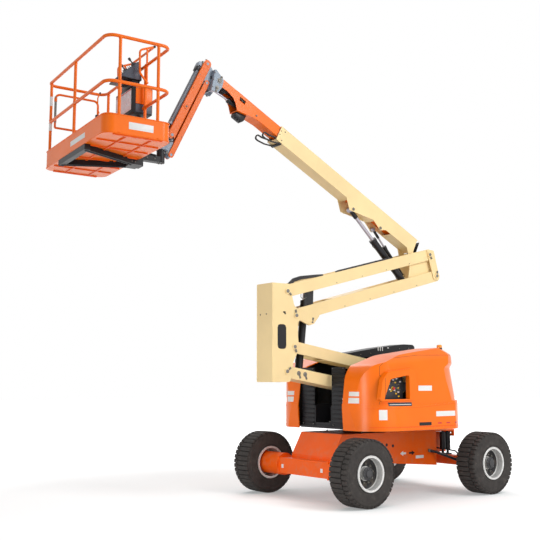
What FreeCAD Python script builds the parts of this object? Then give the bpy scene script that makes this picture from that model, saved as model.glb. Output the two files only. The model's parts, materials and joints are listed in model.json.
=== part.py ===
"""Articulating boom lift with a tower of two parallelograms, a telescopic main boom and a jib.

Millimetres, +Z up. The platform is at -X and the tail at +X. The origin is on the ground, under
the middle of the machine's overall length and width. Each piece is drawn about its own pivot or
about the slew axis, and its Placement puts it where the machine stands: tower partly raised.
"""

import FreeCAD, Part
import math
import os
import re

V = FreeCAD.Vector
doc = FreeCAD.newDocument("boom_lift")

# ---------------------------------------------------------------- driving dimensions

DIMENSIONS = {
    # undercarriage
    "slew_x": 1585, "wheelbase": 2350, "track": 2030,
    "tyre_radius": 425, "tyre_width": 320, "lug_height": 22, "rim_lip": 223, "rim_barrel": 206, "rim_wall": 10,
    "dish_depth": 110, "hub_radius": 80,
    "frame_top": 860, "frame_half": 420, "frame_wall": 12,
    "beam_low": 315, "beam_top": 520, "beam_depth": 225, "beam_half": 500, "housing_radius": 150,
    "kingpin_y": 800, "steer_beam_half": 700, "steer_arm": 150,
    "eye_radius": 16, "slew_ring_radius": 430, "deck_low": 925, "deck_top": 955, "hood_tray_top": 948,
    # turntable and hoods
    "wall_gap": 158, "wall_thick": 16,
    "hood_inner": 460, "hood_outer": 1050, "hood_low": 915, "hood_skin": 12, "tail_radius": 1190,
    "hood_hinge_top": 2006,
    # tower: pins, arm lengths and angles as parked
    "tower_pin_x": 972, "tower_pin_z": 1253, "lower_length": 2700, "lower_angle": 9.2,
    "upper_length": 2860, "upper_angle": 14.85, "pin_spread": 348,
    "lower_spread_angle": 68.2, "upper_spread_angle": 65, "upright_rise": 1053,
    "arm_half": 152, "arm_side": 30, "upper_depth": 164, "lower_depth": 152, "plate_thick": 10,
    "upright_front": 1930, "upright_top": 2835, "upright_low": 1547,
    # main boom, measured from its pivot on the end link
    "boom_pivot_back": 310, "boom_pivot_drop": 91, "boom_angle": 26.5,
    "boom_half": 100, "boom_low": 110, "boom_top": 328, "boom_wall": 8, "boom_rear": 30, "boom_tip": 2945,
    "fly_half": 86, "fly_low": 165, "fly_top": 314, "fly_wall": 8, "fly_rear": 480, "fly_tip": 3600,
    "mount_pin_out": 4045, "mount_pin_up": 245,
    # jib
    "jib_pin_back": 162, "jib_pin_rise": 201,
    "jib_angle": 63.5, "jib_length": 1150, "jib_spread": 250, "jib_half": 66, "jib_depth": 106,
    "link_half": 52, "link_bar": 9, "link_depth": 72, "yoke_half": 37, "yoke_plate": 8, "jib_pin": 18,
    "rotator_out": 120, "rotator_radius": 72,
    # platform
    "platform_yaw": 4.7, "basket_near": 335, "basket_width": 794, "basket_length": 2000,
    "basket_low": 4184, "tub_height": 215, "tub_wall": 4, "floor_thick": 8, "rail_top": 1118, "rail_mid": 605, "rail_radius": 19,
    "pin_radius": 25, "pin_play": 0.1,
}

# ---------------------------------------------------------------- derived places of the pins


def along(start, length, degrees):
    """The point at a length from a start in the X-Z plane, at an angle from +X towards +Z."""
    turn = math.radians(degrees)
    return start[0] + length * math.cos(turn), start[1] + length * math.sin(turn)


size = DIMENSIONS
tower_low = (size["slew_x"] + size["tower_pin_x"], size["tower_pin_z"])
tower_high = along(tower_low, size["pin_spread"], size["lower_spread_angle"])
upright_low = along(tower_low, size["lower_length"], 180 - size["lower_angle"])
upright_high = along(tower_high, size["lower_length"], 180 - size["lower_angle"])
upper_high = (upright_low[0] + 12, upright_low[1] + size["upright_rise"])
upper_low = along(upper_high, size["pin_spread"], -size["upper_spread_angle"])
end_high = along(upper_high, size["upper_length"], size["upper_angle"])
end_low = along(upper_low, size["upper_length"], size["upper_angle"])
boom_pin = (end_high[0] - size["boom_pivot_back"], end_high[1] - size["boom_pivot_drop"])


def on_boom(out, up):
    """A point of the main boom: how far out from its pivot and how far up from the boom's line."""
    line = along(boom_pin, out, 180 - size["boom_angle"])
    return along(line, up, 90 - size["boom_angle"])


def on_arm(pin, angle, out, up=0):
    """A point of a tower arm whose line leaves a pin at an angle, with a step square to it."""
    line = along(pin, out, angle)
    return along(line, up, angle + 90)


mount_pin = on_boom(size["mount_pin_out"], size["mount_pin_up"])
jib_high = (mount_pin[0] - size["jib_pin_back"], mount_pin[1] + size["jib_pin_rise"])
jib_low = (jib_high[0], jib_high[1] - size["jib_spread"])
head_high = along(jib_high, size["jib_length"], 180 + size["jib_angle"])
head_low = (head_high[0], head_high[1] - size["jib_spread"])
rotator_x = head_high[0] - size["rotator_out"]

# each cylinder: the pin of its barrel's foot and of its rod's eye
tower_foot = on_arm(upright_low, -size["lower_angle"], 330, -20)
tower_eye = on_arm(upper_high, size["upper_angle"], 480, 20)
lift_foot = (boom_pin[0] - 75, boom_pin[1] - 400)
lift_eye = on_boom(1345, 25)
level_foot = (boom_pin[0] - 60, boom_pin[1] - 240)
level_eye = on_boom(770, 70)
slave_foot = on_boom(3350, 205)
slave_eye = (mount_pin[0] - 40, mount_pin[1] - 102)
jib_foot = (jib_high[0], jib_high[1] - 95)
jib_eye = along(jib_high, 700, 180 + size["jib_angle"])

PLACES = {}
for name, point in {
    "tower_low": tower_low, "tower_high": tower_high, "upright_base": upright_low,
    "upright_high": upright_high, "upper_high": upper_high, "upper_low": upper_low,
    "end_high": end_high, "end_low": end_low, "boom_pin": boom_pin, "mount_pin": mount_pin,
    "jib_high": jib_high, "jib_low": jib_low, "head_high": head_high, "head_low": head_low,
    "tower_foot": tower_foot, "tower_eye": tower_eye, "lift_foot": lift_foot, "lift_eye": lift_eye,
    "level_foot": level_foot, "level_eye": level_eye, "slave_foot": slave_foot, "slave_eye": slave_eye,
    "jib_foot": jib_foot, "jib_eye": jib_eye,
}.items():
    PLACES[name + "_x"], PLACES[name + "_z"] = point
PLACES["rotator_x"] = rotator_x

SHEET_OF = {}
for sheet_name, cells in (("Sizes", DIMENSIONS), ("Pins", PLACES)):
    sheet = doc.addObject("Spreadsheet::Sheet", sheet_name)
    for row, (alias, number) in enumerate(cells.items(), start=1):
        sheet.set("A%d" % row, alias)
        sheet.set("B%d" % row, repr(number))
        sheet.setAlias("B%d" % row, alias)
        SHEET_OF[alias] = sheet_name
doc.recompute()

WORD = re.compile(r"[a-z_]+")


def bound(expression):
    """An expression with each alias written as a reference to its cell."""
    return WORD.sub(
        lambda word: SHEET_OF[word.group()] + "." + word.group() if word.group() in SHEET_OF else word.group(),
        str(expression),
    )


def bind(item, **properties):
    """Binds properties of a document object to expressions of the sheets' cells."""
    for name, expression in properties.items():
        item.setExpression(name, bound(expression))


def place(item, at):
    """Binds where an object stands."""
    for axis, where in zip("xyz", at):
        item.setExpression("Placement.Base." + axis, bound(where))


# ---------------------------------------------------------------- shapes

ORIGIN = ("0", "0", "0")
TURN = {
    "X": FreeCAD.Rotation(V(0, 1, 0), 90),
    "Y": FreeCAD.Rotation(V(1, 0, 0), -90),
    "Z": FreeCAD.Rotation(),
}


def box(length, width, height, at=ORIGIN):
    """A block with one corner at a place, its sizes along X, Y and Z."""
    block = doc.addObject("Part::Box", "block")
    bind(block, Length=length, Width=width, Height=height)
    place(block, at)
    return block


def slab(length, half_width, height, at):
    """A block that is symmetric about the X-Z plane, from a low corner given by x and z."""
    return box(length, "2 * (%s)" % half_width, height, (at[0], "-(%s)" % half_width, at[1]))


def rod(radius, length, at=ORIGIN, axis="Y"):
    """A round bar from a place along one axis."""
    bar = doc.addObject("Part::Cylinder", "bar")
    bar.Placement = FreeCAD.Placement(V(), TURN[axis])
    bind(bar, Radius=radius, Height=length)
    place(bar, at)
    return bar


def pin(x, z, half, radius="pin_radius"):
    """A pin across the machine, symmetric about the X-Z plane."""
    return rod(radius, "2 * (%s)" % half, (x, "-(%s)" % half, z))


def stubs(x, z, inner, outer, radius="pin_radius"):
    """A pair of short pins, one each side, that leave the middle free."""
    length = "(%s) - (%s)" % (outer, inner)
    return [rod(radius, length, (x, low, z)) for low in (inner, "-(%s)" % outer)]


def fuse(*solids, refine=True):
    """One solid from several that touch or overlap, its coplanar faces merged if refined."""
    if len(solids) == 1:
        return solids[0]
    joined = doc.addObject("Part::MultiFuse", "joined")
    joined.Shapes = list(solids)
    joined.Refine = refine
    return joined


def cut(base, *tools):
    """A solid with others taken out of it."""
    carved = doc.addObject("Part::Cut", "carved")
    carved.Base = base
    carved.Tool = fuse(*tools)
    carved.Refine = True
    return carved


def common(*solids):
    """What several solids share."""
    shared = doc.addObject("Part::MultiCommon", "shared")
    shared.Shapes = list(solids)
    return shared


def outline_edges(corners):
    """Lines through corners (a, b), with an arc at each corner given as (a, b, radius)."""
    count = len(corners)
    edges = []
    ends = []
    for index, corner in enumerate(corners):
        here = V(corner[0], corner[1], 0)
        before = V(*corners[index - 1][:2], 0)
        after = V(*corners[(index + 1) % count][:2], 0)
        if len(corner) == 2:
            ends.append((here, here))
            continue
        inward = (before - here).normalize()
        outward = (after - here).normalize()
        half = inward.getAngle(outward) / 2
        reach = corner[2] / math.tan(half)
        middle = here + (inward + outward).normalize() * (corner[2] / math.sin(half))
        nearest = middle + (here - middle).normalize() * corner[2]
        ends.append((here + inward * reach, here + outward * reach))
        edges.append(Part.Arc(ends[-1][0], nearest, ends[-1][1]))
    for index in range(count):
        start = ends[index][1]
        finish = ends[(index + 1) % count][0]
        run = V(*corners[(index + 1) % count][:2], 0) - V(*corners[index][:2], 0)
        if (finish - start).dot(run) < -1e-6:
            raise ValueError("arcs overlap after corner %d of %s" % (index, corners))
        if start.distanceToPoint(finish) > 1e-6:
            edges.append(Part.LineSegment(start, finish))
    return edges


def drawn(corners, plane, holes=()):
    """A body with one sketch: a closed outline and round holes (a, b, radius) on one plane."""
    body = doc.addObject("PartDesign::Body", "plate")
    sketch = body.newObject("Sketcher::SketchObject", "sketch")
    support = next(item for item in body.Origin.OriginFeatures if item.Role == plane + "_Plane")
    sketch.AttachmentSupport = [(support, "")]
    sketch.MapMode = "FlatFace"
    sketch.addGeometry(outline_edges(corners))
    for a, b, radius in holes:
        sketch.addGeometry(Part.Circle(V(a, b, 0), V(0, 0, 1), radius))
    return body, sketch


def plate(corners, thick, low="0", plane="XZ", holes=()):
    """An outline padded along the axis square to its plane, from a low side."""
    body, sketch = drawn(corners, plane, holes)
    pad = body.newObject("PartDesign::Pad", "pad")
    pad.Profile = sketch
    pad.Reversed = plane == "XZ"
    bind(pad, Length=thick)
    axis = {"XZ": "y", "XY": "z", "YZ": "x"}[plane]
    body.setExpression("Placement.Base." + axis, bound(low))
    return body


def web(corners, half_width, holes=()):
    """An X-Z outline padded to both sides of the middle plane."""
    return plate(corners, "2 * (%s)" % half_width, "-(%s)" % half_width, holes=holes)


def cheeks(corners, inner, thick, holes=()):
    """The same X-Z plate on both sides of the middle plane."""
    return [
        plate(corners, thick, inner, holes=holes),
        plate(corners, thick, "-(%s) - (%s)" % (inner, thick), holes=holes),
    ]


def turned(corners, plane="XY"):
    """A ring about the plane's upright axis from an outline of (radius, height) corners."""
    body, sketch = drawn(corners, plane)
    ring = body.newObject("PartDesign::Revolution", "ring")
    ring.Profile = sketch
    ring.ReferenceAxis = (sketch, ["V_Axis"])
    ring.Angle = 360
    return body


SUBPARTS = []


def piece(node, solids, at=("slew_x", "0", "0"), tilt=None, axis=(0, 1, 0)):
    """Names a sub-part and places it. Several solids stay apart, in one compound."""
    whole = doc.addObject("Part::Compound", node)
    whole.Links = list(solids) if isinstance(solids, (list, tuple)) else [solids]
    whole.Label = node
    if tilt:
        whole.Placement = FreeCAD.Placement(V(), FreeCAD.Rotation(V(*axis), 1))
        whole.setExpression("Placement.Rotation.Angle", bound(tilt) + " * 1 deg")
    place(whole, at)
    SUBPARTS.append(whole)
    return whole


RISING = (0, -1, 0)     # a tilt that lifts the +X end
FALLING = (0, 1, 0)     # a tilt that drops the +X end
CORNERS = {"front_left": (-1, -1), "front_right": (-1, 1), "rear_left": (1, -1), "rear_right": (1, 1)}

# ---------------------------------------------------------------- undercarriage


def chassis_frame():
    """Welded box between the axles, narrowing to a neck over the steered axle."""
    top = size["frame_top"]
    half = size["frame_half"]
    wall = size["frame_wall"]
    side = [(-1075, 430), (-100, 440), (850, 365), (850, top), (-970, top), (-1140, 570), (-1140, 520), (-1075, 520)]
    inside = [
        (-1075 + wall, 430 + wall), (-100, 440 + wall), (850 - wall, 365 + wall), (850 - wall, top - wall),
        (-970 + wall, top - wall), (-1140 + 2 * wall, 570),
    ]
    shell = cut(web(side, "frame_half"), web(inside, "frame_half - frame_wall"))
    neck = cut(
        slab("450", "205", "290", ("845", "525")),
        slab("430", "205 - frame_wall", "290 - 2 * frame_wall", ("845", "525 + frame_wall")),
    )
    shelf = slab("425", "400", "20", ("845", "frame_top - 20"))
    gussets = [box("20", "400 - 205", "80", ("1250", low, "frame_top - 100")) for low in ("205", "-400")]
    lugs = []
    eyes = []
    for side in (310, -310):
        lug = [(side - 50, 440), (side - 50, 290, 30), (side + 50, 290, 30), (side + 50, 440)]
        lugs.append(plate(lug, "20", "-1020", "YZ"))
        eyes.append(rod("eye_radius", "60", ("-1040", str(side), "330"), "X"))
    eyes += [rod("eye_radius", "60", ("1230", side, "frame_top - 55"), "X") for side in ("340", "-340")]
    return piece("chassis_frame", cut(fuse(shell, neck, shelf, *gussets, *lugs), *eyes))


def drive_axle():
    """Fixed beam with a drive housing and spindle to each front wheel."""
    middle = "-wheelbase / 2"
    beam = slab("beam_depth", "beam_half", "beam_top - beam_low", ("-1300", "beam_low"))
    parts = [beam]
    for side in (1, -1):
        flange_low = "beam_half" if side > 0 else "-beam_half - 25"
        parts.append(box("beam_depth + 20", "25", "beam_top - beam_low + 30", ("-1310", flange_low, "beam_low - 15")))
        parts.append(rod("housing_radius", "480", (middle, "520" if side > 0 else "-1000", "tyre_radius")))
        parts.append(rod("60", "50", (middle, "995" if side > 0 else "-1045", "tyre_radius")))
    return piece("drive_axle", fuse(*parts))


def steer_axle():
    """Beam that carries the steering yokes, with its cylinder's barrel on the tail side."""
    middle = "wheelbase / 2"
    parts = [slab("150", "steer_beam_half", "130", (middle + " - 75", "365"))]
    for side in (1, -1):
        low = "steer_beam_half - 20" if side > 0 else "-steer_beam_half - 145"
        for level in ("498", "330"):
            parts.append(box("100", "165", "30", (middle + " - 50", low, level)))
        stub = "steer_beam_half - 60" if side > 0 else "-steer_beam_half"
        parts.append(box("100", "60", "198", (middle + " - 50", stub, "330")))
    parts.append(slab("100", "160", "60", (middle + " + 40", "395")))
    parts.append(rod("42", "400", (middle + " + steer_arm", "-200", "433")))
    bores = [rod("20 + pin_play", "1500", (middle + " + steer_arm", "-750", "433"))]
    bores += [rod("20 + pin_play", "260", (middle, low, "300"), "Z") for low in ("kingpin_y", "-kingpin_y")]
    return piece("steer_axle", cut(fuse(*parts), *bores))


def axle_lockouts():
    """Two pairs of upright cylinders between the steered axle and the frame's shelf."""
    solids = []
    for y in ("-330", "330"):
        for x in ("1090", "1195"):
            solids.append(fuse(
                rod("42", "250", (x, y, "570"), "Z"),
                rod("18", "345", (x, y, "495"), "Z"),
            ))
    feet = [box("190", "80", "20", ("1048", low, "495")) for low in ("-370", "290")]
    return piece("axle_lockouts", [fuse(*solids[:2], feet[0]), fuse(*solids[2:], feet[1])])


def slew_ring():
    """Bearing ring between the frame and the turntable."""
    ring = cut(rod("slew_ring_radius", "deck_low - frame_top", ("0", "0", "frame_top"), "Z"),
               rod("slew_ring_radius - 90", "deck_low - frame_top", ("0", "0", "frame_top"), "Z"))
    return piece("slew_ring", ring)


TYRE_SIDES = 24     # flat sides of a tyre, one lug of each row on each
LUG_ROOT = 399      # distance of the lugs' roots from the wheel's axis
LUG_HOLE = 350      # hole of a lug row, hidden inside the carcass


def faceted_ring(corners, sides):
    """A ring about Y whose faces are all flat, from an outline of (distance, y) corners on each side."""
    step = 2 * math.pi / sides
    loops = []
    for turn in range(sides):
        angle = (turn + 0.5) * step
        loops.append([
            V(distance / math.cos(step / 2) * math.sin(angle), y, -distance / math.cos(step / 2) * math.cos(angle))
            for distance, y in corners
        ])
    faces = []
    for turn, loop in enumerate(loops):
        before = loops[turn - 1]
        for index in range(len(corners)):
            quad = [before[index - 1], before[index], loop[index], loop[index - 1]]
            faces.append(Part.Face(Part.makePolygon(quad + quad[:1])))
    ring = doc.addObject("Part::Feature", "faceted_ring")
    ring.Shape = Part.makeSolid(Part.makeShell(faces))
    return ring


def lug_row(top, tip, root, low, high, first):
    """A toothed ring: one lug on each side of the tyre, flat on top and wider at its root."""
    step = 2 * math.pi / TYRE_SIDES
    outline = []
    for turn in range(TYRE_SIDES):
        angle = (turn + first) * step
        for across, out in ((-root, LUG_ROOT), (-tip, top), (tip, top), (root, LUG_ROOT)):
            outline.append((out * math.sin(angle) + across * math.cos(angle),
                            -out * math.cos(angle) + across * math.sin(angle)))
    return plate(outline, str(high - low), str(low), holes=((0, 0, LUG_HOLE),))


def tyre():
    """Tyre with a long row of lugs over its inner part and a short, offset row at its outer shoulder."""
    radius = size["tyre_radius"]
    half = size["tyre_width"] / 2
    lip = size["rim_lip"]
    barrel = size["rim_barrel"]
    carcass = faceted_ring([
        (barrel + 0.3, -half + 16), (lip + 3, -half + 14), (340, -half), (385, -half + 2), (403, -half + 10),
        (403, half - 10), (385, half - 2), (340, half), (lip + 3, half - 14), (barrel + 0.3, half - 16),
    ], TYRE_SIDES)
    long_row = lug_row(radius, 40, 45, -half + 12, 26, 0)
    short_row = lug_row(radius - 2, 38, 43, 36, half - 12, 0.5)
    return fuse(carcass, long_row, short_row)


def wheels():
    """Four tyres and four dished rims, the dish facing outwards."""
    half = size["tyre_width"] / 2
    barrel = size["rim_barrel"]
    lip = size["rim_lip"]
    wall = size["rim_wall"]
    face = half - size["dish_depth"]
    dish = [
        (0, face), (barrel - wall, face), (barrel - wall, half + 2), (lip, half + 2), (lip, half - 10),
        (barrel, half - 12), (barrel, -half + 12), (lip, -half + 10), (lip, -half - 2),
        (barrel - wall, -half - 2), (barrel - wall, face - wall - 2), (0, face - wall - 2),
    ]
    rubber = tyre()
    for name, (end, side) in CORNERS.items():
        at = ("slew_x + (%d) * wheelbase / 2" % end, "(%d) * track / 2" % side, "tyre_radius")
        tilt = None if side > 0 else "180"
        piece("tyre_" + name, rubber, at, tilt, (0, 0, 1))
        hub = rod("hub_radius", "55", ("0", str(face - 2), "0"))
        piece("rim_" + name, fuse(turned(dish), hub), at, tilt, (0, 0, 1))


def knuckles():
    """Steering knuckles: barrel on the kingpin, spindle into the wheel, arm to the steering rod."""
    for name, side in (("left", -1), ("right", 1)):
        sign = "(%d) * " % side
        barrel = rod("42", "126", ("0", "0", "365"), "Z")
        kingpin = rod("20", "216", ("0", "0", "320"), "Z")
        spindle = rod("45", "235", ("0", "0" if side > 0 else "-235", "tyre_radius"))
        arm = box("steer_arm + 20", "30", "20", ("0", "-30" if side > 0 else "0", "392"))
        piece("knuckle_" + name, fuse(barrel, kingpin, spindle, arm),
              ("slew_x + wheelbase / 2", sign + "kingpin_y", "0"))


def steer_rod():
    """Steering cylinder's through rod with a block over each knuckle arm."""
    parts = [rod("20", "1500", ("0", "-750", "433"))]
    parts += [box("60", "50", "30", ("-30", low, "418")) for low in ("740", "-790")]
    return piece("steer_rod", fuse(*parts), ("slew_x + wheelbase / 2 + steer_arm", "0", "0"))


# ---------------------------------------------------------------- turntable


def turntable_frame():
    """Deck plate and the two walls that carry the tower's lower pins at the tail."""
    deck = common(
        slab("2130", "440", "deck_top - deck_low", ("-960", "deck_low")),
        rod("1160", "100", ("0", "0", "deck_low - 20"), "Z"),
    )
    side = [(-930, 950), (-930, 1240, 40), (350, 1300, 200), (860, 1690, 80), (1140, 1690, 60), (1150, 950)]
    walls = cheeks(side, "wall_gap", "wall_thick")
    half = "wall_gap + wall_thick + 8"
    pins = [pin("tower_low_x - slew_x", "tower_low_z", half), pin("tower_high_x - slew_x", "tower_high_z", half)]
    return piece("turntable_frame", fuse(deck, *walls, *pins))


def counterweight():
    """Cast blocks that follow the tail's arc on both sides of the tower walls."""
    solids = []
    for low in ("190", "-190 - 255"):
        block = box("560", "255", "745", ("600", low, "deck_top"))
        solids.append(common(block, rod("1150", "900", ("0", "0", "deck_low"), "Z")))
    return piece("counterweight", solids)


def engine_block():
    """Engine and pump as one plain mass inside the right hood."""
    return piece("engine_block", box("620", "380", "590", ("-250", "570", "hood_tray_top")))


def hood_tray():
    """Floor plates under the hoods, carried by the deck."""
    solids = []
    for side in (1, -1):
        edge = [(-930, side * 440), (1130, side * 440), (1130, side * 1010), (-930, side * 1010, 450)]
        floor = plate(edge if side > 0 else edge[::-1], "18", "hood_tray_top - 18", "XY")
        solids.append(common(floor, rod("1150", "100", ("0", "0", "deck_low - 20"), "Z")))
    return piece("hood_tray", solids)


def front_guard():
    """Dark guards across the front of the turntable: one each side of the tower's slot and a low one."""
    solids = [box("14", "262", "790", ("-930", low, "deck_top")) for low in ("180", "-180 - 262")]
    solids.append(box("14", "300", "45", ("-930", "-150", "deck_top")))
    return piece("front_guard", solids)


def hood_form(inset, grow=0):
    """A hood's outer form on the right side: plan, side and end outlines and the round tail."""
    inner = size["hood_inner"] - grow
    outer = size["hood_outer"] - inset
    low = size["hood_low"] - grow
    tail = size["tail_radius"] - inset
    front = 1005 - inset
    plan = plate([(-front, inner), (1300, inner), (1300, outer), (-front, outer, 500 - inset)],
                 "1400", str(low), "XY")
    side = plate([
        (-front + 22, low), (1300, low), (1300, 2030 - inset), (450, 2030 - inset, 900), (-400, 1915 - inset, 900),
        (-front + 150, 1770 - inset, 120), (-front + 55, 1640, 300), (-front, 1230, 500),
    ], "1500", str(inner - 50), "XZ")
    end = plate([
        (inner - 50, low - 200), (outer, low - 200), (outer + 5, 1500, 400), (outer - 35, 1850 - inset, 120),
        (outer - 165, 2010 - inset, 200), (inner - 50, 2070 - inset),
    ], "3200", "-1700", "YZ")
    end.Placement = FreeCAD.Placement(V(), FreeCAD.Rotation(V(0, -1, 0), 4.5))
    place(end, ("-1700", "0", "-135"))
    tail_form = fuse(
        turned([
            (0, low), (tail, low), (tail, 1290), (tail - 30, 1300), (tail - 95, 1740, 60), (tail - 62, 1800, 40),
            (tail - 70, 1925, 70), (tail - 260, 2050), (0, 2050),
        ], "XZ"),
        box("1900", "1300", "1400", ("-1600", "0", str(low))),
    )
    return common(plan, side, end, tail_form)


def hood_shell():
    """A hollow hood with a slightly prouder band around its lower part, open inwards and downwards."""
    band = common(hood_form(0), box("3000", "1400", "345", ("-1500", "0", "hood_low")))
    return cut(fuse(hood_form(7), band), hood_form(size["hood_skin"] + 7, 60))


def hood_hinges(y):
    """Two hinge knuckles along a hood's upper inner edge."""
    return [rod("14", "90", (start, y, "hood_hinge_top"), "X") for start in ("540", "860")]


def hoods():
    """The right hood and its mirror image, which has a framed window for the controls."""
    piece("hood_right", fuse(hood_shell(), *hood_hinges("hood_inner"), refine=False))
    mirrored = doc.addObject("Part::Mirroring", "mirrored")
    mirrored.Source = hood_shell()
    mirrored.Normal = V(0, 1, 0)
    rim = [(-888, 1308, 30), (-222, 1308, 30), (-215, 1690, 50), (-310, 1722, 60), (-735, 1680, 60), (-830, 1580, 60)]
    window = [(-815, 1325, 15), (-345, 1325, 15), (-345, 1640, 30), (-690, 1585, 30)]
    frame = plate(rim, "70", "-hood_outer - 10")
    opening = plate(window, "400", "-hood_outer - 100")
    framed = cut(fuse(mirrored, frame), opening)
    piece("hood_left", fuse(framed, *hood_hinges("-hood_inner"), refine=False))


def ground_control():
    """Control box behind the left hood's window."""
    body = box("440", "150", "370", ("-780", "-930", "1300"))
    post = box("60", "60", "380", ("-600", "-880", "hood_tray_top"))
    return piece("ground_control", fuse(body, post))


def top_cover():
    """Dark cover beside the tower on a plate that stands on the right counterweight."""
    side = [(-340, 1950), (295, 2048), (840, 2114, 300), (1040, 2112, 30), (1082, 2082, 20), (1082, 2000), (-340, 1870)]
    foot = box("470", "12", "320", ("610", "430", "1700"))
    return piece("top_cover", fuse(plate(side, "260", "182"), foot))


# ---------------------------------------------------------------- tower


def arm_body(length, depth, covers, extra=()):
    """Two side tubes pinned at both ends, joined by cover plates given as (start, end, level)."""
    half = depth / 2
    outline = [(-half, -half, half - 2), (length + half, -half, half - 2),
               (length + half, half, half - 2), (-half, half, half - 2)]
    parts = cheeks(outline, "arm_half - arm_side", "arm_side")
    for start, finish, level in covers:
        low = half - size["plate_thick"] if level == "top" else -half
        parts.append(slab(str(finish - start), "arm_half - arm_side + 5", "plate_thick", (str(start), str(low))))
    bores = [pin(str(x), "0", "arm_half + 20", "pin_radius + pin_play") for x in (0, length)]
    return cut(fuse(*parts, *extra), *bores)


def lower_arm():
    """Lower arm of the lower parallelogram, drawn from its pin on the upright."""
    length = size["lower_length"]
    foot = pin("330", "-20", "arm_half - 5", "18")
    body = arm_body(length, size["lower_depth"], [(60, length - 60, "bottom"), (700, length - 60, "top")], [foot])
    return piece("lower_arm", body, ("upright_base_x", "0", "upright_base_z"), "lower_angle", FALLING)


def lower_link():
    """Upper arm of the lower parallelogram; its top is open where the end link nests when stowed."""
    length = size["lower_length"]
    body = arm_body(length, size["lower_depth"], [(620, length - 60, "bottom"), (620, 1950, "top")])
    return piece("lower_link", body, ("upright_high_x", "0", "upright_high_z"), "lower_angle", FALLING)


def upright():
    """Channel at the front of the tower: a face plate and two side plates with four pins."""
    base_x = size["slew_x"] - upright_low[0]
    front = base_x - size["upright_front"]
    low = size["upright_low"] - upright_low[1]
    top = size["upright_top"] - upright_low[1]
    rise = size["upright_rise"]
    high = (upper_high[0] - upright_low[0], rise)
    second = (upper_low[0] - upright_low[0], upper_low[1] - upright_low[1])
    third = (upright_high[0] - upright_low[0], upright_high[1] - upright_low[1])
    side = [
        (front, low), (50, low, 30), (95, 0, 60), (110, 130, 30), (third[0] + 60, third[1] - 60, 50),
        (third[0] + 70, third[1] + 50, 50), (third[0] + 60, third[1] + 140, 60), (third[0] + 60, second[1] - 110, 60),
        (second[0] + 72, second[1] - 30, 50), (second[0] + 60, second[1] + 70, 50), (130, rise - 190, 60),
        (high[0] + 80, rise - 60, 50), (high[0] + 75, top, 60), (front, top),
    ]
    walls = cheeks(side, "arm_half + 6", "plate_thick")
    face = slab("plate_thick", "arm_half + 6 + plate_thick / 2", str(top - low), (str(front), str(low)))
    foot = slab("150", "arm_half + 6 + plate_thick / 2", "plate_thick", (str(front), str(low)))
    outside = "arm_half + 6 + plate_thick + 8"
    pins = [pin(str(x), str(z), outside) for x, z in ((0, 0), high)]
    for x, z in (second, third):
        pins += stubs(str(x), str(z), "arm_half - arm_side", outside)
    slot = web([(-143, 300, 30), (-72, 300, 30), (-72, 600, 30), (-143, 600, 30)], "arm_half + 40")
    return piece("upright", fuse(cut(fuse(*walls, face, foot), slot), *pins),
                 ("upright_base_x", "0", "upright_base_z"))


def upper_link():
    """Lower arm of the upper parallelogram, with a lug under its front end."""
    length = size["upper_length"]
    lug = [(40, -60), (205, -180, 20), (285, -178, 40), (400, -100, 30), (430, -60)]
    lugs = cheeks(lug, "arm_half - arm_side", "arm_side")
    body = arm_body(length, size["upper_depth"], [(760, 1500, "bottom"), (760, 1500, "top")], lugs)
    return piece("upper_link", body, ("upper_low_x", "0", "upper_low_z"), "upper_angle", RISING)


def upper_arm():
    """Upper arm of the upper parallelogram, open between its tubes where the main boom nests."""
    body = arm_body(size["upper_length"], size["upper_depth"], [(680, 1100, "bottom")])
    return piece("upper_arm", body, ("upper_high_x", "0", "upper_high_z"), "upper_angle", RISING)


def from_point(point, origin):
    """A point of the X-Z plane measured from another."""
    return point[0] - origin[0], point[1] - origin[1]


def end_link():
    """Link at the tail end of the upper arms; it carries the main boom and its cylinders."""
    low = from_point(end_low, end_high)
    boom = from_point(boom_pin, end_high)
    lift = from_point(lift_foot, end_high)
    level = from_point(level_foot, end_high)
    outer = [(-62, 75, 30), (95, 72, 30), (low[0] + 55, low[1] + 10, 60), (low[0] + 45, low[1] - 62, 30),
             (low[0] - 58, low[1] - 60, 30)]
    inner = [
        (boom[0] - 46, boom[1] + 45, 40), (boom[0] + 50, boom[1] + 48, 40), (-60, 40, 60), (60, 52, 45),
        (low[0] + 58, low[1] - 10, 50), (low[0], low[1] - 62, 45), (lift[0] + 25, lift[1] - 48, 40),
        (lift[0] - 44, lift[1] - 38, 35), (lift[0] - 42, lift[1] + 60, 40), (boom[0] - 78, boom[1] - 150, 60),
    ]
    parts = cheeks(outer, "arm_half + 6", "plate_thick") + cheeks(inner, "boom_half + 6", "8")
    for point in ((0, 0), low):
        parts += stubs(str(point[0]), str(point[1]), "boom_half + 6", "arm_half + 24")
    for point, radius in ((boom, "pin_radius"), (lift, "22")):
        parts.append(pin(str(point[0]), str(point[1]), "boom_half + 14", radius))
    parts.append(rod("15", "boom_half - 8", (str(level[0]), "22", str(level[1]))))
    return piece("end_link", fuse(*parts), ("end_high_x", "0", "end_high_z"))


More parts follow.
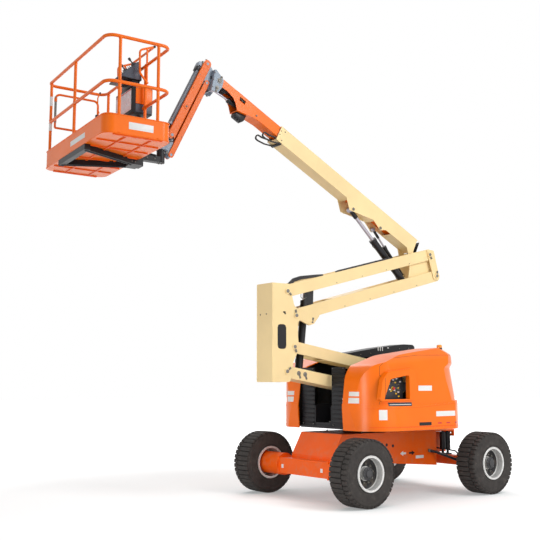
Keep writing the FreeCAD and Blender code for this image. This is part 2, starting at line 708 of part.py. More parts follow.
def cylinder(name, foot, eye, barrel_length, longest, bore, rod_radius, foot_pin, eye_pin, reach, y=0.0):
    """A hydraulic cylinder between two points: a hollow barrel with its foot and a rod with its eye.

    The piston stays inside the barrel up to the cylinder's longest length. The rod's eye carries its
    own pin, which reaches towards the plates beside it, because the linkage is opened there.
    """
    run = math.hypot(eye[0] - foot[0], eye[1] - foot[1])
    lean = math.degrees(math.atan2(eye[1] - foot[1], eye[0] - foot[0]))
    width = bore * 0.8
    bottom = foot_pin + 10
    tube = cut(
        rod(str(bore), str(barrel_length - bottom), (str(bottom), "0", "0"), "X"),
        rod(str(bore - 7), str(barrel_length - bottom - 45), (str(bottom + 25), "0", "0"), "X"),
        rod(str(rod_radius + 0.5), "60", (str(barrel_length - 40), "0", "0"), "X"),
    )
    boss = rod(str(foot_pin + 14), str(2 * width), ("0", str(-width), "0"))
    neck = box(str(bottom + 10), str(2 * width), str(2 * foot_pin), ("0", str(-width), str(-foot_pin)))
    bore_tool = rod("%s + pin_play" % foot_pin, str(2 * width + 20), ("0", str(-width - 10), "0"))
    barrel = cut(fuse(tube, boss, neck), bore_tool)
    piston_at = longest - barrel_length + 60
    shaft = rod(str(rod_radius), str(piston_at), (str(-piston_at), "0", "0"), "X")
    piston = rod(str(bore - 8), "35", (str(-piston_at - 35), "0", "0"), "X")
    ring = rod(str(eye_pin + 14), str(2 * width), ("0", str(-width), "0"))
    eye_bar = rod(str(eye_pin), str(2 * reach), ("0", str(-reach), "0"))
    for node, solid, spot in ((name + "_barrel", barrel, foot), (name + "_rod", fuse(shaft, piston, ring, eye_bar), eye)):
        whole = piece(node, solid, (str(spot[0]), str(y), str(spot[1])))
        whole.Placement = FreeCAD.Placement(V(), FreeCAD.Rotation(V(0, -1, 0), lean))
        place(whole, (str(spot[0]), str(y), str(spot[1])))


# ---------------------------------------------------------------- main boom


def main_boom():
    """Box boom with deep cheeks around its cylinders' rod eyes and foot lugs at its pivot."""
    low = size["boom_low"]
    rear = size["boom_rear"]
    tip = size["boom_tip"]
    tube = cut(
        slab(str(tip - rear), "boom_half", "boom_top - boom_low", (str(-tip), "boom_low")),
        slab(str(tip - rear), "boom_half - boom_wall", "boom_top - boom_low - 2 * boom_wall",
             (str(-tip - 8), "boom_low + boom_wall")),
    )
    cheek = [
        (-1550, low + 20), (-1530, low + 2), (-1398, -24, 18), (-1280, 10, 25), (-935, low - 4), (-752, 38, 12),
        (-695, 84, 12), (-655, low - 4), (-170, low - 4), (-55, -35, 35), (42, -35, 36), (42, 60, 30),
        (-rear, low + 4), (-rear, low + 20),
    ]
    cheek_plates = cheeks(cheek, "boom_half - boom_wall", "boom_wall")
    heads = [rod(radius, "6", (str(-out), low_y, str(up)))
             for out, up, radius in ((1345, 25, "34"), (770, 70, "26")) for low_y in ("boom_half - 2", "-boom_half - 4")]
    pockets = [slab(length, "boom_half - boom_wall", "70", (start, "boom_low - 20"))
               for length, start in (("240", "-1470"), ("360", "-900"))]
    bore = pin("0", "0", "boom_half + 5", "pin_radius + pin_play")
    return piece("main_boom", cut(fuse(tube, *cheek_plates, *heads), bore, *pockets),
                 ("boom_pin_x", "0", "boom_pin_z"), "boom_angle", FALLING)


def fly_boom():
    """Telescopic inner boom with its forked head and the bracket under it."""
    tip = size["fly_tip"]
    rear = size["fly_rear"]
    low = size["fly_low"]
    tube = cut(
        slab(str(tip - rear), "fly_half", "fly_top - fly_low", (str(-tip), "fly_low")),
        slab(str(tip - rear), "fly_half - fly_wall", "fly_top - fly_low - 2 * fly_wall",
             (str(-tip - 8), "fly_low + fly_wall")),
    )
    head = web([(-3768, 314), (-3250, 314), (-3250, low), (-3400, 145), (-3636, 72)], "fly_half")
    hollow = web([(-3900, 306), (-3200, 306), (-3200, low + 8), (-3250, low + 8), (-3402, 153), (-3760, 42)],
                 "fly_half - fly_wall")
    roof = slab("280", "fly_half", "fly_wall", ("-3985", "fly_top - fly_wall"))
    fork = [(-3690, 310), (-3650, 150), (-3634, 74), (-3700, 150, 20), (-3760, 190, 30), (-3870, 214, 40),
            (-4070, 200, 40), (-4092, 268, 35), (-4040, 300, 25), (-3985, 314, 15), (-3800, 314)]
    fork_plates = cheeks(fork, "fly_half - fly_wall", "fly_wall")
    foot_pin = pin("-3350", "205", "fly_half - 4", "13")
    slot = web([(-3683, 274, 6), (-3683, 220, 6), (-3575, 220, 6), (-3575, 274, 6)], "fly_half + 5")
    bore = pin("-mount_pin_out", "mount_pin_up", "fly_half + 5", "pin_radius + pin_play")
    shell = cut(cut(fuse(tube, head), hollow), slot)
    body = cut(fuse(shell, roof, *fork_plates, foot_pin), bore)
    return piece("fly_boom", body, ("boom_pin_x", "0", "boom_pin_z"), "boom_angle", FALLING)


# ---------------------------------------------------------------- jib


def jib_mount():
    """Yoke that is kept level at the fly's tip: wide plates for the fly, narrow ones for the jib."""
    high = from_point(jib_high, mount_pin)
    low = from_point(jib_low, mount_pin)
    foot = from_point(jib_foot, mount_pin)
    wide = [(-52, 141, 6), (56, 34, 12), (65, 13, 12), (40, -77, 30), (-22, -160, 20), (-119, -149, 8),
            (-121, -104), (-60, 132)]
    narrow = [(-197, 236, 32), (-128, 236, 30), (-58, 140), (-115, -145), (-150, -100, 15), (-197, -84, 32)]
    bridge = [(-70, 139), (-54, 139), (-110, -150), (-126, -150)]
    parts = cheeks(wide, "fly_half + 6", "10")
    parts += cheeks(narrow, "yoke_half - yoke_plate", "yoke_plate")
    parts.append(web(bridge, "fly_half + 16"))
    for point, reach in ((high, "jib_half + 6"), (low, "link_half + 1")):
        for start in ("yoke_half - yoke_plate", "-(%s)" % reach):
            parts.append(rod("jib_pin", "%s - yoke_half + yoke_plate" % reach, (str(point[0]), start, str(point[1]))))
    parts.append(pin("0", "0", "fly_half + 20"))
    parts.append(pin(str(foot[0]), str(foot[1]), "yoke_half - 2", "14"))
    for start in ("fly_half + 14", "-fly_half - 20"):
        parts.append(rod("24", "6", ("-40", start, "-102")))
    return piece("jib_mount", fuse(*parts), ("mount_pin_x", "0", "mount_pin_z"))


def jib_arm():
    """Upper jib member: a channel open towards the link."""
    length = size["jib_length"]
    half = size["jib_depth"] / 2
    outline = [(-length - half, -half, half - 3), (half, -half, half - 3), (half, half, half - 3),
               (-length - half, half, half - 3)]
    sides = cheeks(outline, "jib_half - 7", "7")
    cover = slab(str(length - 40), "jib_half - 4", "8", (str(-length + 20), str(half - 8)))
    heads = [rod("24", "5", ("-700", start, "0")) for start in ("jib_half - 1", "-jib_half - 4")]
    bores = [pin(str(x), "0", "jib_half + 10", "jib_pin + pin_play") for x in (0, -length)]
    return piece("jib_arm", cut(fuse(*sides, cover, *heads), *bores),
                 ("jib_high_x", "0", "jib_high_z"), "jib_angle", RISING)


def jib_link():
    """Lower jib member: two bars joined across by a bridge at mid length."""
    length = size["jib_length"]
    half = size["link_depth"] / 2
    outline = [(-length - half, -half, half - 3), (half, -half, half - 3), (half, half, half - 3),
               (-length - half, half, half - 3)]
    bars = cheeks(outline, "link_half - link_bar", "link_bar")
    bridge = slab("760", "link_half - 2", "8", (str(-length + 180), str(-half)))
    bores = [pin(str(x), "0", "link_half + 10", "jib_pin + pin_play") for x in (0, -length)]
    return piece("jib_link", cut(fuse(*bars, bridge), *bores), ("jib_low_x", "0", "jib_low_z"), "jib_angle", RISING)


def jib_head():
    """Head at the jib's end that stays level and carries the upright rotary actuator."""
    drop = -size["jib_spread"]
    side = [(-60, 34, 20), (32, 32, 30), (32, drop - 32, 30), (-32, drop - 32, 28), (-40, drop + 50, 10),
            (-100, drop + 55), (-100, -40)]
    parts = cheeks(side, "yoke_half - yoke_plate", "yoke_plate")
    for z, reach in ((0, "jib_half + 6"), (drop, "link_half + 1")):
        for start in ("yoke_half - yoke_plate", "-(%s)" % reach):
            parts.append(rod("jib_pin", "%s - yoke_half + yoke_plate" % reach, ("0", start, str(z))))
    parts.append(rod("rotator_radius", "165", ("-rotator_out", "0", str(drop + 48)), "Z"))
    return piece("jib_head", fuse(*parts), ("head_high_x", "0", "head_high_z"))


def jib_hose_track():
    """Flat hose carrier along the jib's upper face."""
    rise = size["jib_depth"] / 2
    track = slab("960", "38", "32", ("-1020", str(rise)))
    block = slab("80", "45", "50", ("-105", str(rise)))
    return piece("jib_hose_track", fuse(track, block), ("jib_high_x", "0", "jib_high_z"), "jib_angle", RISING)


# ---------------------------------------------------------------- platform


def on_platform(node, solids):
    """Places a piece drawn about the rotator's axis, turned by the platform's yaw."""
    return piece(node, solids, ("rotator_x", "0", "basket_low"), "platform_yaw", (0, 0, -1))


def platform_support():
    """Hub under the rotator, arm to the basket and the frame of beams under its floor."""
    hub_low = 26
    hub_top = head_low[1] + 48 - 5 - size["basket_low"]
    parts = [
        rod("50", str(hub_top - hub_low), ("0", "0", str(hub_low)), "Z"),
        slab("300", "45", "70", ("-300", str(hub_low))),
        slab("70", "70", "160", ("-330", "-64")),
        slab("150", "110", "64", ("-440", "-64")),
    ]
    for side in (1, -1):
        beam = [(-400, side * 105), (-400, side * 35), (-1110, side * 350), (-1110, side * 430)]
        parts.append(plate(beam if side > 0 else beam[::-1], "64", "-64", "XY"))
    parts.append(slab("64", "430", "64", ("-1134", "-64")))
    return on_platform("platform_support", fuse(*parts))


def tube_path(points, radius, bend):
    """A round tube through 3-D points, with an arc of the bend's radius at each inner point."""
    corners = [V(*point) for point in points]
    edges = []
    start = corners[0]
    for index in range(1, len(corners) - 1):
        here = corners[index]
        inward = (corners[index - 1] - here).normalize()
        outward = (corners[index + 1] - here).normalize()
        half = inward.getAngle(outward) / 2
        reach = bend / math.tan(half)
        middle = here + (inward + outward).normalize() * (bend / math.sin(half))
        nearest = middle + (here - middle).normalize() * bend
        edges.append(Part.LineSegment(start, here + inward * reach).toShape())
        edges.append(Part.Arc(here + inward * reach, nearest, here + outward * reach).toShape())
        start = here + outward * reach
    edges.append(Part.LineSegment(start, corners[-1]).toShape())
    path = Part.Wire(edges)
    direction = (corners[1] - corners[0]).normalize()
    ring = Part.Wire([Part.makeCircle(radius, corners[0], direction)])
    feature = doc.addObject("Part::Feature", "tube")
    feature.Shape = path.makePipeShell([ring], True, False)
    return feature


def basket():
    """Tub with a floor, raised edges and the posts and rails that stand on it."""
    near = -size["basket_near"]
    far = near - size["basket_width"]
    half = size["basket_length"] / 2
    wall = size["tub_wall"]
    tub = cut(
        plate([(near, -half, 110), (near, half, 110), (far, half, 110), (far, -half, 110)],
              "tub_height", "0", "XY"),
        plate([(near - wall, -half + wall, 104), (near - wall, half - wall, 104), (far + wall, half - wall, 104),
               (far + wall, -half + wall, 104)], "tub_height", "floor_thick", "XY"),
    )
    radius = size["rail_radius"]
    x_near, x_far = near - radius, far + radius
    y_end = half - radius
    top = size["rail_top"] - radius
    middle = size["rail_mid"] - radius
    split = 300
    rails = [
        tube_path([(x_near, split, top), (x_near, -y_end, top), (x_far, -y_end, top), (x_far, split, top)],
                  radius, 110),
        tube_path([(x_near, split, top), (x_near, y_end, top), (x_far, y_end, top), (x_far, split, top)],
                  radius, 110),
        tube_path([(x_near, half - 140, middle), (x_near, -y_end, middle), (x_far, -y_end, middle),
                   (x_far, half - 140, middle)], radius, 110),
    ]
    posts = [(x_near, half - 140), (x_far, half - 140), (x_far, 0), (x_far + 150, -y_end), (x_near - 150, -y_end),
             (x_near, -0.3 * half), (x_near, 0.45 * half)]
    for x, y in posts:
        rails.append(rod("rail_radius - 1", str(top - 4), (str(x), str(y), "4"), "Z"))
    return on_platform("basket", fuse(tub, *rails))


def basket_gate():
    """Swing gate of bent tube at the right end, hinged on the outer corner post."""
    half = size["basket_length"] / 2
    radius = size["rail_radius"]
    hinge_x = -size["basket_near"] - size["basket_width"] + radius + 95
    latch_x = -size["basket_near"] - radius - 95
    y = half - radius
    frame = [
        tube_path([(hinge_x, y, 560), (hinge_x, y, 1000), (latch_x, y, 1000), (latch_x, y, 560)], 14, 60),
        tube_path([(hinge_x, y, 560), (latch_x, y, 560)], 14, 60),
    ]
    return on_platform("basket_gate", fuse(*frame))


def console():
    """Control console on the boom side of the basket, over its box panel."""
    near = -size["basket_near"]
    desk = plate([(near - 50, 940, 20), (near - 50, 1090, 20), (near - 330, 940, 20), (near - 320, 890, 20)],
                 "520", "-260")
    neck = box("60", "300", "120", (str(near - 200), "-150", "840"))
    case = box("240", "420", "330", (str(near - 300), "-210", "540"))
    return on_platform("console", fuse(desk, neck, case))


# ---------------------------------------------------------------- assembly

chassis_frame()
drive_axle()
steer_axle()
axle_lockouts()
slew_ring()
wheels()
knuckles()
steer_rod()
turntable_frame()
counterweight()
engine_block()
hood_tray()
front_guard()
hoods()
ground_control()
top_cover()
lower_arm()
lower_link()
upright()
upper_link()
upper_arm()
end_link()
cylinder("tower_cylinder", tower_foot, tower_eye, 1040, 1803, 52, 32, 18, 18, 115)
cylinder("lift_cylinder", lift_foot, lift_eye, 930, 1720, 50, 26, 22, 22, 55, -35)
cylinder("level_cylinder", level_foot, level_eye, 560, 1000, 28, 14, 15, 15, 30, 55)
main_boom()
fly_boom()
cylinder("slave_cylinder", slave_foot, slave_eye, 440, 745, 30, 13, 13, 13, 75)
jib_mount()
jib_arm()
jib_link()
cylinder("jib_cylinder", jib_foot, jib_eye, 460, 810, 22, 12, 14, 14, 50)
jib_head()
jib_hose_track()
platform_support()
basket()
basket_gate()
console()

doc.recompute()

# ---------------------------------------------------------------- check and write


def write_parts():
    """Checks every object and writes each sub-part's shape."""
    faults = [item.Label for item in doc.Objects if "Invalid" in item.State or "Error" in item.State]
    for whole in SUBPARTS:
        if whole.Shape.isNull() or not whole.Shape.isValid():
            faults.append(whole.Label)
    if faults:
        raise SystemExit("failed: " + ", ".join(faults))
    os.makedirs("parts", exist_ok=True)
    for whole in SUBPARTS:
        whole.Shape.exportStep("parts/%s.step" % whole.Label)
    print(len(SUBPARTS), "sub-parts written")


write_parts()
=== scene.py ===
"""Looks of the articulating boom lift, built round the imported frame.

Metres, +Z up. Places come from the joints and nodes of the frame. Each local frame is a matrix
whose first axis runs out along an arm, whose second goes across the machine and whose third is up.
"""

import json
import math

import bmesh
import bpy
from mathutils import Matrix, Vector
from mathutils.bvhtree import BVHTree


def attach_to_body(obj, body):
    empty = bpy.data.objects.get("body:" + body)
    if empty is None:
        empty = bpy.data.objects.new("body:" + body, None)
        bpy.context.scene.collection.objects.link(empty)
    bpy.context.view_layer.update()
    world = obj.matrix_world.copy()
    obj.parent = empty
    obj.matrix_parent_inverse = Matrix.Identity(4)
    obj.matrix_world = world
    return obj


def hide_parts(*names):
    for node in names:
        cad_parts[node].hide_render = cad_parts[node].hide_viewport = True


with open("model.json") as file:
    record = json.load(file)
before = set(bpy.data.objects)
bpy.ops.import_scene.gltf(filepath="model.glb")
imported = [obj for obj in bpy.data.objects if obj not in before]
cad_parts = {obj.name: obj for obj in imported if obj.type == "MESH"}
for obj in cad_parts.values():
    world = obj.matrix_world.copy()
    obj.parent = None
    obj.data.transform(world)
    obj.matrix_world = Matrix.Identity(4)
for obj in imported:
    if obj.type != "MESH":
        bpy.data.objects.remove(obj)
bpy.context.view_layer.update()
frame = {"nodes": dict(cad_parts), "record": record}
nodes = frame["nodes"]
joints = {joint["name"]: joint for joint in frame["record"]["behaviour"]["joints"]}

# ---------------------------------------------------------------- camera, floor and light

CAMERA_PLACE = (-7.127, -9.021, 1.549)
CAMERA_PITCH = 97.4
CAMERA_YAW = -37.29
LENS = 57.41
SKY_LIGHT = 0.55      # the world's strength as light on the object
FLOOR_REACH = 60
FLOOR_TONE = 0.86
FLOOR_NEAR = 0.30     # what is added to the floor where it is seen near the object, so that it is white
FADE_START = 4.0      # from here the seen floor brightens
FADE_END = 11.0       # from here it is white
SHADE_REACH = 1.3     # how near a thing has to be to darken the floor under it
SHADE_SAMPLES = 8
# painted shadow on the seen floor: its tone by how open the sky is above it, as (openness, colour)
PAINTED_SHADOW_TONES = ((0.15, (0.30, 0.375, 0.385)), (0.74, (0.86, 0.86, 0.86)))


def camera():
    """The camera at the photograph's angle."""
    data = bpy.data.cameras.new("camera")
    data.lens = LENS
    data.sensor_width = 36
    data.clip_end = 200
    eye = bpy.data.objects.new("camera", data)
    eye.location = CAMERA_PLACE
    eye.rotation_euler = (math.radians(CAMERA_PITCH), 0, math.radians(CAMERA_YAW))
    bpy.context.collection.objects.link(eye)
    bpy.context.scene.camera = eye


def area_light(name, place, target, size, power, spread=180):
    """A square soft light that looks at a target, its beam narrowed to an angle."""
    data = bpy.data.lights.new(name, "AREA")
    data.shape = "SQUARE"
    data.size = size
    data.energy = power
    data.spread = math.radians(spread)
    lamp = bpy.data.objects.new(name, data)
    lamp.location = place
    lamp.rotation_euler = (Vector(target) - Vector(place)).to_track_quat("-Z", "Y").to_euler()
    bpy.context.collection.objects.link(lamp)


def add_node(tree, kind, **inputs):
    """A node whose inputs are set to values or linked to sockets; _ stands for a space in their names."""
    node = tree.nodes.new(kind)
    for key, value in inputs.items():
        socket = node.inputs[key.replace("_", " ")]
        if isinstance(value, bpy.types.NodeSocket):
            tree.links.new(value, socket)
        else:
            socket.default_value = value
    return node


def seen_directly(tree):
    """1 for rays from the camera, from glossy surfaces and through glass, and 0 for light on the object."""
    path = tree.nodes.new("ShaderNodeLightPath")
    total = path.outputs["Is Camera Ray"]
    for kind in ("Is Glossy Ray", "Is Transmission Ray"):
        larger = tree.nodes.new("ShaderNodeMath")
        larger.operation = "MAXIMUM"
        tree.links.new(total, larger.inputs[0])
        tree.links.new(path.outputs[kind], larger.inputs[1])
        total = larger.outputs[0]
    return total


def show(tree, unseen, seen, output):
    """Gives an output one shader as light on the object and another where it is seen directly."""
    mix = add_node(tree, "ShaderNodeMixShader", Fac=seen_directly(tree))
    tree.links.new(unseen.outputs[0], mix.inputs[1])
    tree.links.new(seen.outputs[0], mix.inputs[2])
    tree.links.new(mix.outputs[0], tree.nodes[output].inputs["Surface"])


def surroundings():
    """A world that is white where it is seen and a plain soft light elsewhere."""
    world = bpy.data.worlds.new("studio")
    world.use_nodes = True
    tree = world.node_tree
    light = tree.nodes["Background"]
    light.inputs["Color"].default_value = (1, 1, 1, 1)
    light.inputs["Strength"].default_value = SKY_LIGHT
    white = add_node(tree, "ShaderNodeBackground", Color=(1, 1, 1, 1), Strength=1.0)
    show(tree, light, white, "World Output")
    bpy.context.scene.world = world


def floor():
    """A pale floor that keeps the object's shadow, adds a painted shadow where it is seen near things, and is
    white away from it.
    """
    mesh = bpy.data.meshes.new("floor")
    reach = FLOOR_REACH
    mesh.from_pydata([(-reach, -reach, 0), (reach, -reach, 0), (reach, reach, 0), (-reach, reach, 0)], [],
                     [(0, 1, 2, 3)])
    plane = bpy.data.objects.new("floor", mesh)
    bpy.context.collection.objects.link(plane)
    pale = bpy.data.materials.new("floor")
    pale.use_nodes = True
    tree = pale.node_tree
    shader = tree.nodes["Principled BSDF"]
    shader.inputs["Base Color"].default_value = (FLOOR_TONE, FLOOR_TONE, FLOOR_TONE, 1)
    shader.inputs["Roughness"].default_value = 0.9
    shader.inputs["Specular IOR Level"].default_value = 0.1
    place = add_node(tree, "ShaderNodeTexCoord")
    away = add_node(tree, "ShaderNodeVectorMath", Vector=place.outputs["Object"])
    away.operation = "LENGTH"
    strength = add_node(tree, "ShaderNodeMapRange", Value=away.outputs["Value"], From_Min=FADE_START,
                        From_Max=FADE_END, To_Min=FLOOR_NEAR, To_Max=1.0)
    # painted shadow: where it is seen, the floor darkens and turns blue-grey as things close in over it,
    # offsetting the orange light bounced onto it
    sky = add_node(tree, "ShaderNodeAmbientOcclusion", Distance=SHADE_REACH)
    sky.samples = SHADE_SAMPLES
    tone = add_node(tree, "ShaderNodeValToRGB", Fac=sky.outputs["AO"])
    for stop, (openness, colour) in zip(tone.color_ramp.elements, PAINTED_SHADOW_TONES):
        stop.position = openness
        stop.color = (*colour, 1)
    seen = add_node(tree, "ShaderNodeBsdfDiffuse", Color=tone.outputs["Color"])
    glow = add_node(tree, "ShaderNodeEmission", Strength=strength.outputs["Result"])
    lit = tree.nodes.new("ShaderNodeAddShader")
    tree.links.new(seen.outputs[0], lit.inputs[0])
    tree.links.new(glow.outputs[0], lit.inputs[1])
    show(tree, shader, lit, "Material Output")
    mesh.materials.append(pale)


def studio():
    """White surroundings, a pale floor and soft lights."""
    bpy.context.scene.view_settings.view_transform = "Standard"
    surroundings()
    floor()
    area_light("key", (3.5, -9.0, 9.0), (0.5, 0, 2), 4.0, 560)
    area_light("side", (2.5, -10.0, 3.0), (1.0, 0, 1.6), 5.0, 150)
    area_light("front", (-8.5, -3.5, 1.2), (1.5, 0, 0.9), 2.5, 22, 50)
    area_light("high_front", (-9.0, -4.0, 7.0), (-1, 0, 3), 5.0, 38)
    area_light("back", (4.0, 8.0, 9.0), (1, 0, 2), 6.0, 260)


# ---------------------------------------------------------------- materials


class Shader:
    """A node material under construction: a Principled shader with helpers for the nodes before it."""

    def __init__(self, name, roughness=0.5, metallic=0.0, coat=0.0, coat_roughness=0.1, specular=0.5):
        self.material = bpy.data.materials.new(name)
        self.material.use_nodes = True
        self.tree = self.material.node_tree
        self.surface = self.tree.nodes["Principled BSDF"]
        self.surface.inputs["Roughness"].default_value = roughness
        self.surface.inputs["Metallic"].default_value = metallic
        self.surface.inputs["Coat Weight"].default_value = coat
        self.surface.inputs["Coat Roughness"].default_value = coat_roughness
        self.surface.inputs["Specular IOR Level"].default_value = specular
        self.place = self.add("ShaderNodeTexCoord").outputs["Object"]

    def add(self, kind, **inputs):
        return add_node(self.tree, kind, **inputs)

    def noise(self, scale, detail=3.0, roughness=0.5, stretch=None):
        """Noise of a scale in waves a metre, stretched along the axes if asked."""
        place = self.place
        if stretch:
            place = self.add("ShaderNodeMapping", Vector=place, Scale=stretch).outputs["Vector"]
        return self.add("ShaderNodeTexNoise", Vector=place, Scale=scale, Detail=detail,
                        Roughness=roughness).outputs["Fac"]

    def cells(self, scale):
        """Random grey levels in crystal-like cells."""
        node = self.add("ShaderNodeTexVoronoi", Vector=self.place, Scale=scale)
        return self.add("ShaderNodeSeparateColor", Color=node.outputs["Color"]).outputs["Red"]

    def ramp(self, factor, *stops):
        """Colours or greys along a factor, as (position, colour) stops."""
        node = self.add("ShaderNodeValToRGB", Fac=factor)
        elements = node.color_ramp.elements
        while len(elements) < len(stops):
            elements.new(0.5)
        for element, (position, colour) in zip(elements, stops):
            element.position = position
            element.color = colour if len(colour) == 4 else (*colour, 1)
        return node.outputs["Color"]

    def level(self, factor, low, high):
        """A factor from 0 to 1 spread from low to high."""
        return self.add("ShaderNodeMapRange", Value=factor, To_Min=low, To_Max=high).outputs["Result"]

    def mix(self, factor, first, second):
        node = self.tree.nodes.new("ShaderNodeMix")
        node.data_type = "RGBA"
        for index, value in ((0, factor), (6, first), (7, second)):
            if isinstance(value, bpy.types.NodeSocket):
                self.tree.links.new(value, node.inputs[index])
            else:
                node.inputs[index].default_value = value if index == 0 else (*value, 1)
        return node.outputs[2]

    def colour(self, socket):
        self.tree.links.new(socket, self.surface.inputs["Base Color"])

    def rough(self, socket):
        self.tree.links.new(socket, self.surface.inputs["Roughness"])

    def bump(self, height, strength, distance):
        node = self.add("ShaderNodeBump", Height=height, Strength=strength, Distance=distance)
        self.tree.links.new(node.outputs["Normal"], self.surface.inputs["Normal"])

    def height(self):
        """How high a point is above the ground."""
        return self.add("ShaderNodeSeparateXYZ", Vector=self.place).outputs["Z"]


def shade(colour, factor):
    """A colour made darker or lighter."""
    return tuple(min(1.0, channel * factor) for channel in colour)


def paint(name, colour, roughness=0.32, dust=0.25):
    """Sprayed paint: faint patches, fine peel in the gloss and dust low down."""
    shader = Shader(name, roughness, coat=0.06, coat_roughness=0.12, specular=0.22)
    patches = shader.ramp(shader.noise(1.7, 4.0), (0.3, shade(colour, 0.93)), (0.7, shade(colour, 1.04)))
    grime = shader.ramp(shader.noise(9.0, 6.0, 0.65), (0.48, (0, 0, 0)), (0.75, (1, 1, 1)))
    low = shader.add("ShaderNodeMapRange", Value=shader.height(), From_Min=1.0, From_Max=0.0, To_Max=dust)
    amount = shader.add("ShaderNodeMath", Value=grime)
    amount.operation = "MULTIPLY"
    shader.tree.links.new(low.outputs["Result"], amount.inputs[1])
    shader.colour(shader.mix(amount.outputs[0], patches, (0.36, 0.28, 0.2)))
    shader.rough(shader.level(shader.noise(5.0, 5.0), roughness - 0.06, roughness + 0.12))
    shader.bump(shader.noise(90.0, 2.0), 0.06, 0.002)
    return shader.material


def rubber(name, colour):
    """Worn rubber with dust in its pores."""
    shader = Shader(name, 0.85, specular=0.25)
    dusty = shader.ramp(shader.noise(14.0, 6.0, 0.7), (0.35, colour), (0.62, shade(colour, 1.5)),
                        (0.8, (0.15, 0.13, 0.11)))
    shader.colour(dusty)
    shader.rough(shader.level(shader.noise(30.0), 0.72, 0.92))
    shader.bump(shader.noise(160.0, 4.0), 0.35, 0.002)
    return shader.material


def galvanised(name, colour):
    """Zinc-grey wheel paint with a faint crystal pattern and brown dust."""
    shader = Shader(name, 0.42, metallic=0.35)
    crystals = shader.ramp(shader.cells(45.0), (0.2, shade(colour, 0.93)), (0.8, shade(colour, 1.05)))
    shader.colour(shader.mix(shader.level(shader.noise(7.0, 6.0), 0.0, 0.22), crystals, (0.4, 0.36, 0.3)))
    shader.rough(shader.level(shader.noise(12.0), 0.35, 0.55))
    shader.bump(shader.noise(110.0), 0.08, 0.001)
    return shader.material


def polished(name, colour, roughness=0.16, metallic=1.0):
    """Bare or plated metal with faint rings of wear."""
    shader = Shader(name, roughness, metallic=metallic, specular=0.3)
    shader.colour(shader.ramp(shader.noise(3.0, 3.0, stretch=(1, 1, 9)), (0.3, shade(colour, 0.9)),
                              (0.7, colour)))
    shader.rough(shader.level(shader.noise(40.0), roughness - 0.04, roughness + 0.1))
    shader.bump(shader.noise(260.0), 0.04, 0.0005)
    return shader.material


def plastic(name, colour, roughness=0.5):
    """Moulded plastic or hose with a fine grain."""
    shader = Shader(name, roughness)
    shader.colour(shader.ramp(shader.noise(12.0, 4.0), (0.3, shade(colour, 0.85)),
                              (0.75, shade(colour, 1.2))))
    shader.rough(shader.level(shader.noise(25.0), roughness - 0.08, roughness + 0.12))
    shader.bump(shader.noise(220.0, 3.0), 0.15, 0.001)
    return shader.material


def casting(name, colour):
    """Rough painted iron."""
    shader = Shader(name, 0.6, metallic=0.1)
    shader.colour(shader.ramp(shader.noise(8.0, 6.0), (0.3, shade(colour, 0.8)), (0.7, shade(colour, 1.15))))
    shader.bump(shader.noise(70.0, 5.0), 0.4, 0.003)
    return shader.material


ORANGE = (0.93, 0.165, 0.002)
DEEP_ORANGE = (0.90, 0.115, 0.002)
CREAM = (0.86, 0.67, 0.35)

MATERIALS = {
    "orange": paint("orange_paint", ORANGE, 0.3, 0.1),
    "deep_orange": paint("deep_orange_paint", DEEP_ORANGE, 0.36, 0.5),
    # the orange paint darkened for the jib: painted shade
    "jib_shaded_orange": paint("jib_shaded_paint", (0.74, 0.130, 0.004), 0.40, 0.0),
    "cream": paint("cream_paint", CREAM, 0.34, 0.1),
    "black": paint("black_paint", (0.012, 0.012, 0.014), 0.4, 0.15),
    "grey": paint("grey_paint", (0.27, 0.33, 0.4), 0.38, 0.1),
    "white": paint("white_paint", (0.78, 0.78, 0.77), 0.4, 0.05),
    "yellow": paint("yellow_paint", (0.85, 0.55, 0.02), 0.35, 0.05),
    "red": plastic("red_plastic", (0.6, 0.02, 0.02), 0.35),
    "dark": plastic("dark_plastic", (0.025, 0.026, 0.03), 0.55),
    "hose": plastic("hose_rubber", (0.015, 0.015, 0.017), 0.5),
    "rubber": rubber("tyre_rubber", (0.036, 0.032, 0.03)),
    "rim": galvanised("rim_paint", (0.7, 0.7, 0.69)),
    "rod": polished("plated_rod", (0.42, 0.4, 0.45), 0.34, 0.55),
    "steel": polished("zinc_steel", (0.2, 0.19, 0.17), 0.42, 0.35),
    # near black for the hoods' inward faces: painted shade inside the hoods
    "hood_inside_shade": paint("hood_inside_painted_shade", (0.02, 0.017, 0.015), 0.6, 0.0),
    "dark_disc": paint("rim_shadow_paint", (0.018, 0.018, 0.02), 0.5, 0.6),
    "cover_grey": paint("hose_cover_paint", (0.175, 0.20, 0.235), 0.45, 0.0),
    "slate": paint("slate_paint", (0.085, 0.1, 0.13), 0.45, 0.0),
    "mesh": paint("mesh_paint", (0.86, 0.85, 0.88), 0.5, 0.0),
    "iron": casting("cast_grey", (0.045, 0.045, 0.048)),
    "seam": plastic("seam_shadow", (0.02, 0.016, 0.012), 0.7),
    "amber": plastic("amber_lens", (0.9, 0.3, 0.01), 0.15),
    # a lighter copy of the cream paint for beads, washers and edges: painted highlight
    "cream_highlight": paint("cream_painted_highlight", shade(CREAM, 1.12), 0.38, 0.1),
}

